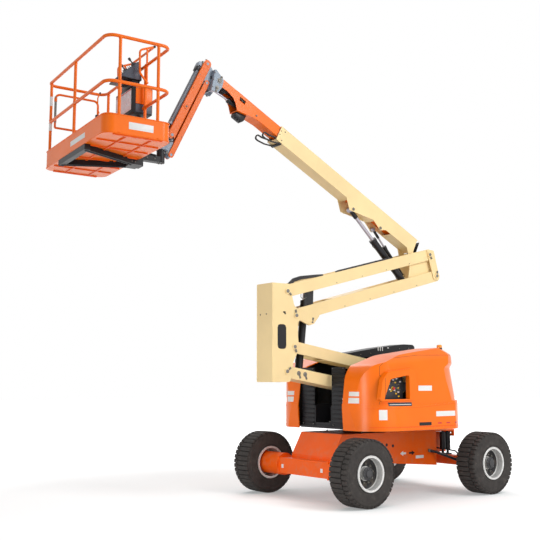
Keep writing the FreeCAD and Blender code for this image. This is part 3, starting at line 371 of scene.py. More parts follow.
NODE_MATERIALS = {
    "orange": ("hood_left", "hood_right", "fly_boom", "basket", "basket_gate"),
    # the jib's members in the darkened orange: painted shade
    "jib_shaded_orange": ("jib_arm", "jib_link"),
    "deep_orange": ("chassis_frame", "drive_axle", "steer_axle", "knuckle_left", "knuckle_right"),
    "cream": ("lower_arm", "lower_link", "upright", "upper_link", "upper_arm", "end_link", "main_boom"),
    "black": (
        "slew_ring", "turntable_frame", "hood_tray", "front_guard", "top_cover", "platform_support",
        "tower_cylinder_barrel", "lift_cylinder_barrel", "level_cylinder_barrel", "slave_cylinder_barrel",
        "jib_cylinder_barrel", "axle_lockouts",
    ),
    "dark": ("ground_control", "console"),
    "grey": ("jib_mount", "jib_head", "jib_hose_track"),
    "rod": (
        "tower_cylinder_rod", "lift_cylinder_rod", "level_cylinder_rod", "slave_cylinder_rod",
        "jib_cylinder_rod", "steer_rod",
    ),
    "iron": ("counterweight", "engine_block"),
    "rubber": ("tyre_front_left", "tyre_front_right", "tyre_rear_left", "tyre_rear_right"),
    "rim": ("rim_front_left", "rim_front_right", "rim_rear_left", "rim_rear_right"),
}


def dress_nodes():
    """Gives every CAD node its material."""
    for key, names in NODE_MATERIALS.items():
        for name in names:
            mesh = nodes[name].data
            mesh.materials.clear()
            mesh.materials.append(MATERIALS[key])
    # the hoods' inward faces get painted shade
    for name, side in (("hood_left", -1), ("hood_right", 1)):
        shade_hood_inside(nodes[name].data, Vector((1.75, side * 0.55, 1.35)))


def shade_hood_inside(mesh, heart):
    """Paints the faces of a hood that look towards a point inside it dark, as painted shade inside the hood.
    """
    mesh.materials.append(MATERIALS["hood_inside_shade"])
    for face in mesh.polygons:
        if face.normal.dot((heart - face.center).normalized()) > 0.15:
            face.material_index = 1


# ---------------------------------------------------------------- local frames


def axes(origin, out, up):
    """A local frame from its origin and the directions of its first and third axis."""
    first = Vector(out).normalized()
    third = Vector(up).normalized()
    second = third.cross(first)
    matrix = Matrix((first, second, third)).transposed().to_4x4()
    matrix.translation = Vector(origin)
    return matrix


def arm_frame(joint, degrees):
    """A frame at a joint whose first axis rises at an angle from +X, in the X-Z plane."""
    turn = math.radians(degrees)
    return axes(joints[joint]["pos_m"], (math.cos(turn), 0, math.sin(turn)),
                (-math.sin(turn), 0, math.cos(turn)))


BOOM_ANGLE = 26.5
JIB_ANGLE = 63.5
LOWER_ARM_ANGLE = -9.2
UPPER_ARM_ANGLE = 14.85
PLATFORM_YAW = -4.7
MODEL = Matrix.Identity(4)
SLEW = Matrix.Translation((joints["slew"]["pos_m"][0], 0, 0))
LOWER_ARM = arm_frame("upright_level", LOWER_ARM_ANGLE)
UPPER_ARM = arm_frame("upper_arm_swing", UPPER_ARM_ANGLE)
UPPER_LINK = arm_frame("upper_link_swing", UPPER_ARM_ANGLE)
UPRIGHT = Matrix.Translation(joints["upright_level"]["pos_m"])
END_LINK = Matrix.Translation(joints["end_link_level"]["pos_m"])
# BOOM, JIB and JIB_LINK have their first axis towards the machine, so out along them is -X
BOOM = arm_frame("main_lift", -BOOM_ANGLE)
JIB = arm_frame("jib_lift", JIB_ANGLE)
JIB_LINK = arm_frame("jib_link_swing", JIB_ANGLE)
MOUNT = Matrix.Translation(joints["mount_level"]["pos_m"])
HEAD = Matrix.Translation(joints["jib_head_level"]["pos_m"])
PLATFORM_LOW = 4.184
PLATFORM = (Matrix.Translation((joints["platform_rotate"]["pos_m"][0], 0, PLATFORM_LOW))
            @ Matrix.Rotation(math.radians(PLATFORM_YAW), 4, "Z"))

# ---------------------------------------------------------------- forms


def ring_points(middle, first, second, radius, sides):
    """Points of a circle round a middle, in the plane of two unit vectors."""
    points = []
    for step in range(sides):
        turn = 2 * math.pi * step / sides
        points.append(middle + first * (radius * math.cos(turn)) + second * (radius * math.sin(turn)))
    return points


def rounded_path(points, bend, steps=6):
    """A polyline with its inner corners rounded by arcs of a radius."""
    corners = [Vector(point) for point in points]
    path = [corners[0]]
    for before, here, after in zip(corners, corners[1:], corners[2:]):
        inward = (before - here).normalized()
        outward = (after - here).normalized()
        half = inward.angle(outward) / 2
        reach = min(bend / math.tan(half), 0.49 * (before - here).length, 0.49 * (after - here).length)
        start = here + inward * reach
        finish = here + outward * reach
        for step in range(steps + 1):
            share = step / steps
            path.append(start.lerp(here, share).lerp(here.lerp(finish, share), share))
    path.append(corners[-1])
    return path


class Form:
    """A mesh in the making. Each method adds a closed solid in the current local frame and colour."""

    def __init__(self, local=MODEL, colour="orange"):
        self.mesh = bmesh.new()
        self.colours = []
        self.local = local
        self.colour(colour)

    def colour(self, name):
        if name not in self.colours:
            self.colours.append(name)
        self.index = self.colours.index(name)
        return self

    def take(self, solid, soft=0.0, segments=2):
        """Adds a bmesh solid, with its sharp edges rounded by a width."""
        bmesh.ops.remove_doubles(solid, verts=solid.verts, dist=1e-6)
        bmesh.ops.recalc_face_normals(solid, faces=solid.faces)
        if soft:
            limit = math.radians(35)
            sharp = [edge for edge in solid.edges if edge.is_manifold and edge.calc_face_angle() > limit]
            bmesh.ops.bevel(solid, geom=sharp, offset=soft, segments=segments, profile=0.5, affect="EDGES",
                            clamp_overlap=True)
        solid.transform(self.local)
        passing = bpy.data.meshes.new("passing")
        solid.to_mesh(passing)
        solid.free()
        known = len(self.mesh.faces)
        self.mesh.from_mesh(passing)
        bpy.data.meshes.remove(passing)
        self.mesh.faces.ensure_lookup_table()
        for face in self.mesh.faces[known:]:
            face.material_index = self.index
        return self

    def block(self, low, high, soft=0.0, segments=2, turn=None):
        """A block from its low to its high corner, turned by a matrix about its middle if asked."""
        solid = bmesh.new()
        middle = (Vector(low) + Vector(high)) / 2
        extent = Vector(high) - Vector(low)
        matrix = Matrix.Translation(middle) @ (turn or MODEL) @ Matrix.Diagonal((*extent, 1))
        bmesh.ops.create_cube(solid, size=1, matrix=matrix)
        return self.take(solid, soft, segments)

    def loft(self, rings, closed=False, soft=0.0):
        """A skin over rings of points, with end caps unless the last ring joins the first."""
        solid = bmesh.new()
        loops = [[solid.verts.new(point) for point in ring] for ring in rings]
        count = len(loops[0])
        pairs = list(zip(loops, loops[1:]))
        if closed:
            pairs.append((loops[-1], loops[0]))
        for low, high in pairs:
            for step in range(count):
                after = (step + 1) % count
                solid.faces.new((low[step], low[after], high[after], high[step]))
        if not closed:
            solid.faces.new(loops[0][::-1])
            solid.faces.new(loops[-1])
        return self.take(solid, soft)

    def turned(self, profile, base, direction, sides=32, soft=0.0):
        """A turned solid or ring, from (radius, distance) pairs along a direction."""
        along = Vector(direction).normalized()
        first = along.orthogonal().normalized()
        second = along.cross(first)
        base = Vector(base)
        hollow = profile[0] == profile[-1]
        if hollow:
            profile = profile[:-1]
        solid = bmesh.new()
        loops = []
        for radius, distance in profile:
            middle = base + along * distance
            if radius < 1e-6:
                loops.append([solid.verts.new(middle)])
            else:
                loops.append([solid.verts.new(p) for p in ring_points(middle, first, second, radius, sides)])
        pairs = list(zip(loops, loops[1:]))
        if hollow:
            pairs.append((loops[-1], loops[0]))
        for low, high in pairs:
            for step in range(sides):
                after = (step + 1) % sides
                if len(low) == 1 and len(high) == 1:
                    continue
                if len(low) == 1:
                    solid.faces.new((low[0], high[after], high[step]))
                elif len(high) == 1:
                    solid.faces.new((low[step], low[after], high[0]))
                else:
                    solid.faces.new((low[step], low[after], high[after], high[step]))
        if not hollow:
            for loop in (loops[0], loops[-1]):
                if len(loop) > 1:
                    solid.faces.new(loop)
        return self.take(solid, soft)

    def bar(self, start, finish, radius, sides=24, soft=0.0):
        """A round bar between two points."""
        start = Vector(start)
        run = Vector(finish) - start
        profile = [(radius - soft, 0), (radius, soft), (radius, run.length - soft),
                   (radius - soft, run.length)]
        if not soft:
            profile = [(radius, 0), (radius, run.length)]
        return self.turned(profile, start, run, sides)

    def washer(self, middle, direction, outer, inner, thick, sides=32):
        """A flat ring centred at a point."""
        along = Vector(direction).normalized()
        low, high = -thick / 2, thick / 2
        profile = [(inner, low), (outer, low), (outer, high), (inner, high), (inner, low)]
        return self.turned(profile, Vector(middle), along, sides, 0)

    def collar(self, base, direction, outer, inner, thick, sides):
        """A flat ring that stands on a face."""
        profile = [(outer, 0), (outer, thick), (inner, thick), (inner, 0), (outer, 0)]
        return self.turned(profile, base, direction, sides)

    def bead(self, *points, radius):
        """A thin weld bead or rolled edge along points."""
        return self.tube(points, radius, 0.01, 8)

    def nut(self, middle, direction, width, height):
        """A six-sided head or nut with the end of its bolt."""
        along = Vector(direction).normalized()
        self.turned([(width / 2, 0), (width / 2, height * 0.8), (width * 0.42, height)], middle, along, 6)
        return self.turned([(width * 0.27, height * 0.9), (width * 0.27, height * 1.35),
                            (width * 0.2, height * 1.5)],
                           middle, along, 10)

    def plate(self, corners, low, high, soft=0.0, across="Y"):
        """An outline made thick along an axis: Y for (x, z) corners, Z for (x, y), X for (y, z)."""
        solid = bmesh.new()
        turned = {
            "Y": lambda a, b, c: (a, c, b), "Z": lambda a, b, c: (a, b, c), "X": lambda a, b, c: (c, a, b),
        }[across]
        loops = [[solid.verts.new(turned(a, b, level)) for a, b in corners] for level in (low, high)]
        count = len(corners)
        for step in range(count):
            after = (step + 1) % count
            solid.faces.new((loops[0][step], loops[0][after], loops[1][after], loops[1][step]))
        solid.faces.new(loops[0][::-1])
        solid.faces.new(loops[1])
        return self.take(solid, soft)

    def tube(self, points, radius, bend=0.06, sides=12, steps=6):
        """A round tube or hose along points, its corners rounded."""
        path = rounded_path(points, bend, steps)
        path = [point for index, point in enumerate(path)
                if not index or (point - path[index - 1]).length > 1e-5]
        rings = []
        along = (path[1] - path[0]).normalized()
        first = along.orthogonal().normalized()
        for index, point in enumerate(path):
            if index == 0:
                heading = along
            elif index == len(path) - 1:
                heading = (path[-1] - path[-2]).normalized()
            else:
                onward = (path[index + 1] - point).normalized()
                heading = (onward + (point - path[index - 1]).normalized()).normalized()
            first = (first - heading * first.dot(heading)).normalized()
            rings.append(ring_points(point, first, heading.cross(first), radius, sides))
        return self.loft(rings)

    def data(self, name, smooth=32):
        """The finished mesh, smooth except at edges sharper than an angle."""
        data = bpy.data.meshes.new(name)
        self.mesh.to_mesh(data)
        self.mesh.free()
        for colour in self.colours:
            data.materials.append(MATERIALS[colour])
        data.polygons.foreach_set("use_smooth", [True] * len(data.polygons))
        data.set_sharp_from_angle(angle=math.radians(smooth))
        return data

    def done(self, name, body, replaces=(), smooth=32):
        """The finished piece, riding on a body."""
        return attach(name, self.data(name, smooth), body, replaces)


def attach(name, data, body, replaces=()):
    """A piece from its mesh, riding on a body and standing for CAD nodes if asked."""
    piece = bpy.data.objects.new(name, data)
    bpy.context.collection.objects.link(piece)
    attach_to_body(piece, body)
    if replaces:
        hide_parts(*replaces)
    return piece


class Skin:
    """The surface of a CAD node, onto which plates, strips and seams are laid."""

    def __init__(self, node, direction):
        data = nodes[node].data
        data.calc_loop_triangles()
        self.tree = BVHTree.FromPolygons([vertex.co for vertex in data.vertices],
                                         [tuple(face.vertices) for face in data.loop_triangles])
        self.direction = Vector(direction).normalized()

    def at(self, point):
        """Where a line through a point meets the surface first, and the surface's normal there."""
        start = Vector(point) - self.direction * 6
        spot, normal, _, _ = self.tree.ray_cast(start, self.direction)
        if spot is None:
            return None
        if normal.dot(self.direction) > 0:
            normal = -normal
        return spot, normal

    def patch(self, form, corners, proud=0.002, deep=0.002, grid=(8, 6)):
        """A thin plate over four corners (in order round it), following the surface."""
        a, b, c, d = (Vector(corner) for corner in corners)
        across, along = grid
        outer = []
        inner = []
        for row in range(along + 1):
            low = a.lerp(d, row / along)
            high = b.lerp(c, row / along)
            for column in range(across + 1):
                hit = self.at(low.lerp(high, column / across))
                if hit is None:
                    return form
                outer.append(hit[0] - self.direction * proud)
                inner.append(hit[0] + self.direction * deep)
        solid = bmesh.new()
        layers = [[solid.verts.new(point) for point in layer] for layer in (outer, inner)]
        width = across + 1
        for layer in layers:
            for row in range(along):
                for column in range(across):
                    corner = row * width + column
                    solid.faces.new((layer[corner], layer[corner + 1], layer[corner + 1 + width],
                                     layer[corner + width]))
        edge = (list(range(width)) + [row * width + across for row in range(1, along + 1)]
                + [along * width + column for column in range(across - 1, -1, -1)]
                + [row * width for row in range(along - 1, 0, -1)])
        for index, here in enumerate(edge):
            after = edge[(index + 1) % len(edge)]
            solid.faces.new((layers[0][here], layers[0][after], layers[1][after], layers[1][here]))
        return form.take(solid)

    def strip(self, form, points, width, proud=0.0015, deep=0.002, step=0.03):
        """A narrow band along points, lying on the surface: a door gap, a rubber lip or a bead."""
        path = []
        corners = [Vector(point) for point in points]
        for here, after in zip(corners, corners[1:]):
            count = max(1, round((after - here).length / step))
            path += [here.lerp(after, share / count) for share in range(count)]
        path.append(corners[-1])
        spots = []
        for point in path:
            hit = self.at(point)
            if hit is not None:
                spots.append(hit)
        if len(spots) < 2:
            return form
        rings = []
        for index, (spot, normal) in enumerate(spots):
            before = spots[max(index - 1, 0)][0]
            after = spots[min(index + 1, len(spots) - 1)][0]
            heading = (after - before).normalized()
            side = normal.cross(heading).normalized() * (width / 2)
            rings.append([spot - side + normal * proud, spot + side + normal * proud,
                          spot + side - normal * deep, spot - side - normal * deep])
        return form.loft(rings)


# ---------------------------------------------------------------- wheels

TYRE_RADIUS = 0.425
TYRE_HALF = 0.160
CARCASS = 0.398       # radius on which the lugs stand
DISC_DEPTH = 0.110    # how far the rim's disc lies inside the tyre's outer side
HALF_TRACK = 1.015
FRONT_AXLE = 0.410
REAR_AXLE = 2.760
KINGPIN = 0.800
LUGS = 40
WHEELS = {
    "front_left": (FRONT_AXLE, -1), "front_right": (FRONT_AXLE, 1), "rear_left": (REAR_AXLE, -1),
    "rear_right": (REAR_AXLE, 1),
}


def lug(form, turn, low, high, top, tip, root):
    """One tread lug: flat on top, wider at its root, its outer end folded down the shoulder."""
    spin = Matrix.Rotation(turn, 4, "Y")
    shoulder = 0.016
    rings = []
    stations = [(low, top - 0.012 if abs(low) > 0.1 else top - 0.001, 0.94),
                (low + shoulder, top, 1.0), (high - shoulder, top, 1.0),
                (high, top - 0.012 if abs(high) > 0.1 else top - 0.001, 0.94)]
    for y, height, spread in stations:
        section = [(-root, CARCASS), (root, CARCASS), (tip, height), (-tip, height)]
        rings.append([spin @ Vector((x * spread, y, -z)) for x, z in section])
    return form.loft(rings, soft=0.0025)


def tyre_mesh():
    """A tyre about the Y axis: beads, ringed sidewalls, carcass and two rows of lugs."""
    form = Form(MODEL, "rubber")
    half = TYRE_HALF
    side = [
        (0.2068, half - 0.018), (0.212, half - 0.0145), (0.2285, half - 0.0135), (0.240, half - 0.0085),
        (0.252, half - 0.0045), (0.254, half - 0.0025), (0.262, half - 0.0025), (0.264, half - 0.0035),
        (0.300, half - 0.0008), (0.338, half - 0.0005), (0.341, half + 0.0012), (0.347, half + 0.0012),
        (0.350, half - 0.001), (0.372, half - 0.0015), (0.386, half - 0.004), (0.398, half - 0.012),
        (0.403, half - 0.026),
    ]
    profile = side + [(radius, -y) for radius, y in reversed(side)]
    form.turned(profile + [profile[0]], (0, 0, 0), (0, 1, 0), 96)
    step = 2 * math.pi / LUGS
    for index in range(LUGS):
        lug(form, index * step, -half + 0.002, 0.066, TYRE_RADIUS, 0.0255, 0.0295)
        lug(form, (index + 0.35) * step, 0.076, half - 0.002, TYRE_RADIUS - 0.002, 0.0235, 0.0285)
    return form


def tyres():
    """Four copies of one tyre, the short lugs at the outer side."""
    pattern = tyre_mesh().data("tyre_tread", smooth=28)
    for name, (x, side) in WHEELS.items():
        data = pattern.copy()
        data.transform(wheel_frame(x, side))
        attach("tyre_tread_" + name, data, "wheel_" + name, ("tyre_" + name,))


def wheel_frame(x, side):
    """A frame at a wheel's middle whose second axis points outwards."""
    return Matrix.Translation((x, side * HALF_TRACK,
                               TYRE_RADIUS)) @ Matrix.Rotation(0 if side > 0 else math.pi, 4, "Z")


def rim_fittings():
    """Pressed disc, dark ring in it, nuts, hub with its cover and valve of each rim."""
    face = TYRE_HALF - DISC_DEPTH
    for name, (x, side) in WHEELS.items():
        form = Form(wheel_frame(x, side), "rim")
        form.turned([(0.1955, face + 0.026), (0.188, face + 0.014), (0.172, face + 0.004),
                     (0.160, face + 0.0005),
                     (0.160, face - 0.001), (0.1955, face - 0.001), (0.1955, face + 0.026)], (0, 0, 0),
                     (0, 1, 0), 64)
        form.turned([(0.090, face - 0.001), (0.098, face + 0.001), (0.104, face + 0.007),
                     (0.128, face + 0.007),
                     (0.134, face + 0.001), (0.142, face - 0.001), (0.090, face - 0.001)], (0, 0, 0),
                     (0, 1, 0), 64)
        form.colour("dark_disc")
        form.turned([(0.0900, face + 0.0015), (0.0985, face + 0.0030), (0.1045, face + 0.0085),
                     (0.1275, face + 0.0085),
                     (0.1335, face + 0.0030), (0.1600, face + 0.0020), (0.1720, face + 0.0055),
                     (0.1875, face + 0.0155),
                     (0.1875, face + 0.0140), (0.1720, face + 0.0040), (0.1600, face + 0.0005),
                     (0.0900, face + 0.0005),
                     (0.0900, face + 0.0015)], (0, 0, 0), (0, 1, 0), 64)
        form.colour("rim")
        form.turned([(0.2225, TYRE_HALF + 0.0015), (0.2185, TYRE_HALF + 0.0045), (0.212, TYRE_HALF + 0.0035),
                     (0.207, TYRE_HALF), (0.2225, TYRE_HALF + 0.0015)], (0, 0, 0), (0, 1, 0), 96)
        form.colour("steel")
        for index in range(9):
            turn = 2 * math.pi * index / 9
            spot = (0.116 * math.sin(turn), face + 0.006, 0.116 * math.cos(turn))
            form.washer(spot, (0, 1, 0), 0.0165, 0.006, 0.003, 20)
            form.nut(spot, (0, 1, 0), 0.027, 0.016)
        form.colour("iron")
        form.turned([(0.0815, face + 0.050), (0.0815, face + 0.056), (0.074, face + 0.062),
                     (0.050, face + 0.066),
                     (0.047, face + 0.080), (0.030, face + 0.084), (0.0, face + 0.084)], (0, 0, 0), (0, 1, 0),
                     48)
        for index in range(10):
            turn = 2 * math.pi * (index + 0.5) / 10
            form.nut((0.064 * math.sin(turn), face + 0.062, 0.064 * math.cos(turn)), (0, 1, 0), 0.012, 0.006)
        form.colour("hose")
        form.tube([(0.150, face + 0.002, 0.085), (0.150, face + 0.020, 0.085), (0.160, face + 0.045, 0.092)],
                  0.0045, 0.01, 10)
        form.done("rim_fittings_" + name, "wheel_" + name)


# ---------------------------------------------------------------- undercarriage


CHASSIS_HALF = 0.420


def bolt_circle(form, middle, direction, radius, count, width, height):
    """Bolt heads in a circle on a flange."""
    along = Vector(direction).normalized()
    first = along.orthogonal().normalized()
    for spot in ring_points(Vector(middle), first, along.cross(first), radius, count):
        form.nut(spot, along, width, height)


def chassis_fittings():
    """Travel arrows, holes shown as black discs of painted shade, blank plates, beads, bolts, hoses and
    lockout pipes of the undercarriage.
    """
    form = Form(SLEW, "white")
    for side in (-1, 1):
        out = side * CHASSIS_HALF
        arrows = {"white": (0.245, -1, 0.560), "black": (0.265, 1, 0.560)}
        for colour, (x, way, z) in arrows.items():
            form.colour(colour)
            arrow = [(-0.055, -0.013), (0.0, -0.013), (0.0, -0.034), (0.062, 0.0), (0.0, 0.034), (0.0, 0.013),
                     (-0.055, 0.013)]
            middle = x + (0.075 if way > 0 else -0.075)
            corners = [(middle + way * a, z + b) for a, b in arrow]
            form.plate(corners, out - 0.0008, out + 0.0008)
        # black rings and discs for two holes: painted shade in the holes
        form.colour("black")
        for x, z in ((-0.150, 0.690), (-0.030, 0.672)):
            form.washer((x, out, z), (0, 1, 0), 0.021, 0.013, 0.003)
            form.bar((x, out - side * 0.001, z), (x, out + side * 0.001, z), 0.0135)
        form.colour("white")
        form.block((0.420, out - 0.001, 0.478), (0.580, out + 0.001, 0.520), 0.0004)
        form.colour("deep_orange")
        y = side * 0.4205
        form.bead((-0.965, y, 0.858), (0.845, y, 0.858), radius=0.004)
        form.bead((-1.130, y, 0.575), (-0.970, y, 0.855), radius=0.004)
        form.colour("steel")
        for x in (-1.275, -1.235, -1.115, -1.075):
            for z in (0.335, 0.500):
                form.nut((x, side * 0.5255, z), (0, side, 0), 0.020, 0.012)
        for x in (-0.55, 0.0, 0.55):
            form.nut((x, side * 0.36, 0.8605), (0, 0, 1), 0.024, 0.014)
    # two blank plates on the front beam
    form.colour("white")
    for y in (0.430, -0.385):
        form.block((-1.3015, y - 0.022, 0.385), (-1.2995, y + 0.022, 0.435), 0.0005)
    form.colour("hose")
    for side in (-1, 1):
        form.tube([(0.86, side * 0.10, 0.66), (1.02, side * 0.12, 0.60), (1.14, side * 0.30, 0.575),
                   (1.15, side * 0.52, 0.555), (1.10, side * 0.62, 0.50)], 0.010, 0.06)
        form.tube([(-1.07, side * 0.12, 0.60), (-1.06, side * 0.30, 0.60), (-1.02, side * 0.46, 0.56),
                   (-1.02, side * 0.56, 0.50)], 0.010, 0.05)
    form.colour("steel")
    for side in (-1, 1):
        form.bar((0.853, side * 0.10, 0.66), (0.885, side * 0.10, 0.66), 0.017, 6)
    for side in (-1, 1):
        form.colour("black")
        form.tube([(0.700, side * 0.428, 0.575), (0.800, side * 0.470, 0.552), (0.980, side * 0.600, 0.468),
                   (1.080, side * 0.660, 0.425)], 0.019, 0.06)
        form.colour("steel")
        form.block((0.670, side * 0.432 - 0.012, 0.555), (0.712, side * 0.432 + 0.012, 0.597), 0.003)
    form.done("chassis_fittings", "base")


def drive_motors():
    """Flanges and bolts of the driven axle's ends, and the motor at its middle."""
    axle = -1.175
    form = Form(SLEW, "deep_orange")
    for side in (-1, 1):
        form.washer((axle, side * 0.9965, TYRE_RADIUS), (0, 1, 0), 0.156, 0.100, 0.010, 48)
        form.colour("iron")
        form.turned([(0.118, 0.0), (0.118, 0.006), (0.100, 0.010), (0.100, -0.004), (0.118, 0.0)],
                    (axle, side * 1.0, TYRE_RADIUS), (0, side, 0), 40)
        form.colour("steel")
        bolt_circle(form, (axle, side * 0.529, TYRE_RADIUS), (0, -side, 0), 0.138, 10, 0.018, 0.006)
        form.colour("deep_orange")
    form.colour("iron")
    form.block((-1.085, -0.11, 0.35), (-0.985, 0.11, 0.48), 0.012)
    form.bar((-1.035, 0.105, 0.415), (-1.035, 0.250, 0.415), 0.052, 28, 0.004)
    form.colour("steel")
    bolt_circle(form, (-1.035, 0.108, 0.415), (0, 1, 0), 0.062, 4, 0.018, 0.010)
    form.done("drive_motors", "base")


def steering_fittings():
    """Kingpin cap, flange and bolts of each knuckle."""
    for name, side in (("left", -1), ("right", 1)):
        form = Form(Matrix.Translation((REAR_AXLE, side * KINGPIN, 0)), "steel")
        form.washer((0, 0, 0.5325), (0, 0, 1), 0.030, 0.020, 0.007)
        form.turned([(0.0195, 0.0), (0.0195, 0.010), (0.010, 0.016), (0.0, 0.016)], (0, 0, 0.536), (0, 0, 1),
                    20)
        form.colour("iron")
        form.washer((0, side * 0.168, TYRE_RADIUS), (0, 1, 0), 0.092, 0.045, 0.020, 40)
        form.colour("steel")
        bolt_circle(form, (0, side * 0.158, TYRE_RADIUS), (0, -side, 0), 0.078, 8, 0.016, 0.008)
        form.done("steering_fittings_" + name, "knuckle_" + name)


def slew_fittings():
    """Bolt ring of the slew bearing."""
    form = Form(SLEW, "steel")
    for index in range(28):
        turn = 2 * math.pi * index / 28
        form.nut((0.395 * math.cos(turn), 0.395 * math.sin(turn), 0.9565), (0, 0, 1), 0.020, 0.010)
    form.done("slew_bolts", "turntable")


# ---------------------------------------------------------------- turntable and hoods

HOOD_SIDE = 1.30     # how far out a line starts that looks at a hood's side
VENT_LOW = 1.34
VENT_STEP = 0.038
VENT_ROWS = 9
GUARD_FACE = -0.9305  # the front guard's outer face, before the slewing axis


def laid(skin, form, low, high, side, proud):
    """A plate laid on a hood's side over a rectangle in x and z."""
    (x0, z0), (x1, z1) = low, high
    corners = [(x0, z0), (x1, z0), (x1, z1), (x0, z1)]
    y = side * HOOD_SIDE
    return skin.patch(form, [(x, y, z) for x, z in corners], proud, grid=(8, 4))


def side_strip(skin, form, corners, side, width, proud=0.0015):
    """A strip laid on a hood's side along corners in x and z."""
    return skin.strip(form, [(x, side * HOOD_SIDE, z) for x, z in corners], width, proud)


def hood_fittings(name, side):
    """Seam, beads with deep-orange lines of painted shade beside them, grip and blank plates of one hood, and
    the right one's vents.
    """
    node = "hood_" + name
    skin = Skin(node, (0, -side, 0))
    nose = Skin(node, (1, 0, 0))
    form = Form(MODEL, "seam")
    side_strip(skin, form, [(0.790, 1.262), (0.800, 1.75), (0.90, 1.845), (1.5, 1.905), (2.45, 1.925)], side,
               0.004,
               0.0008)
    form.colour("orange")
    side_strip(skin, form, [(0.69, 0.945), (1.6, 0.938), (2.655, 0.938)], side, 0.030, 0.0045)
    side_strip(skin, form, [(0.66, 1.212), (1.5, 1.226), (2.66, 1.300)], side, 0.014, 0.0035)
    # narrow deep-orange lines beside the beads: painted shade
    form.colour("deep_orange")
    side_strip(skin, form, [(0.69, 0.966), (1.6, 0.962), (2.655, 0.962)], side, 0.013, 0.0010)
    side_strip(skin, form, [(0.66, 1.203), (1.5, 1.217), (2.66, 1.291)], side, 0.006, 0.0010)
    form.colour("black")
    laid(skin, form, (1.420, 0.976), (1.650, 1.018), side, 0.003)
    if name == "left":
        form.colour("white")
        for low, high in (((0.780, 1.060), (0.875, 1.190)), ((1.750, 1.090), (2.130, 1.158)),
                          ((1.423, 1.432), (1.683, 1.500))):
            laid(skin, form, low, high, side, 0.0012)
        form.colour("dark")
        laid(skin, form, (0.890, 1.236), (1.286, 1.284), side, 0.0015)
        form.colour("white")
        laid(skin, form, (0.905, 1.253), (1.271, 1.267), side, 0.0022)
        form.colour("red")
        for x in (1.78, 1.95, 2.12):
            laid(skin, form, (x, 0.992), (x + 0.075, 1.010), side, 0.0012)
    else:
        form.colour("white")
        laid(skin, form, (1.55, 1.44), (1.78, 1.52), side, 0.0012)
        form.colour("seam")
        for start, finish in ((0.95, 1.38), (2.02, 2.36)):
            for row in range(VENT_ROWS):
                z = VENT_LOW + row * VENT_STEP
                side_strip(skin, form, [(start, z), (finish, z)], side, 0.014, 0.0012)
    # two blank plates on the nose
    form.colour("white")
    for low, high in ((1.362, 1.420), (1.270, 1.342)):
        y0, y1 = side * 0.572, side * 0.745
        nose.patch(form, [(-1, y0, low), (-1, y1, low), (-1, y1, high), (-1, y0, high)], 0.0015, grid=(8, 3))
    form.done("hood_fittings_" + name, node)


def control_panel():
    """Ground controls behind the left hood's window."""
    form = Form(SLEW, "dark")
    front = -0.9305
    form.plate([(-0.775, 1.315), (-0.352, 1.315), (-0.352, 1.655), (-0.700, 1.620)], front, -0.925, 0.002)
    spots = {
        "yellow": ((-0.640, 1.560), (-0.560, 1.600), (-0.480, 1.540), (-0.430, 1.470), (-0.560, 1.430),
                   (-0.470, 1.395), (-0.420, 1.360), (-0.600, 1.520)),
        "white": ((-0.520, 1.575), (-0.455, 1.590), (-0.580, 1.450), (-0.500, 1.440), (-0.425, 1.415),
                  (-0.390, 1.550)),
    }
    for colour, places in spots.items():
        form.colour(colour)
        for x, z in places:
            form.block((x - 0.016, front - 0.0012, z - 0.008), (x + 0.016, front + 0.001, z + 0.008), 0.0005)
    form.colour("steel")
    for x, z in ((-0.610, 1.535), (-0.530, 1.545), (-0.450, 1.510), (-0.470, 1.470), (-0.430, 1.440),
                 (-0.480, 1.415)):
        form.turned([(0.011, 0.0), (0.011, 0.004), (0.006, 0.007), (0.004, 0.028), (0.006, 0.034),
                     (0.0, 0.037)],
                    (x, front, z), (0.05, -1, 0.12), 16)
    form.colour("yellow")
    form.turned([(0.026, 0.0), (0.026, 0.003), (0.017, 0.004), (0.015, 0.010)], (-0.530, front, 1.462),
                (0, -1, 0), 32)
    form.colour("red")
    form.turned([(0.013, 0.008), (0.013, 0.015), (0.020, 0.018), (0.021, 0.024), (0.016, 0.030),
                 (0.0, 0.032)],
                (-0.530, front, 1.462), (0, -1, 0), 32)
    form.colour("black")
    form.turned([(0.030, 0.0), (0.030, 0.008), (0.026, 0.012), (0.0, 0.012)], (-0.390, front, 1.610),
                (0, -1, 0), 32)
    form.done("control_panel", "turntable")


def beacon():
    """Amber beacon on its dark base, over the left hood's tail."""
    form = Form(MODEL, "black")
    x, y = 2.125, -0.800
    form.turned([(0.038, 1.940), (0.0385, 2.018), (0.037, 2.024), (0.0, 2.024)], (x, y, 0), (0, 0, 1), 40)
    form.colour("amber")
    form.turned([(0.0365, 2.0235), (0.0372, 2.050), (0.0345, 2.0600), (0.024, 2.0655), (0.0, 2.0665)],
                (x, y, 0), (0, 0, 1), 40)
    form.done("beacon", "hood_left")


RIB = 0.012
RIB_STEP = 0.06


def guard_ribs():
    """Pressed ribs across both plates of the front guard."""
    form = Form(SLEW, "black")
    for side in (-1, 1):
        low = min(side * 0.191, side * 0.431)
        for index in range(13):
            z = 1.0 + index * RIB_STEP
            ring = [[(GUARD_FACE, y, z - 0.010), (GUARD_FACE - RIB, y, z - 0.005),
                     (GUARD_FACE - RIB, y, z + 0.005),
                     (GUARD_FACE, y, z + 0.010)]
                    for y in (low, low + 0.240)]
            form.loft(ring, soft=0.002)
    form.done("guard_ribs", "turntable")


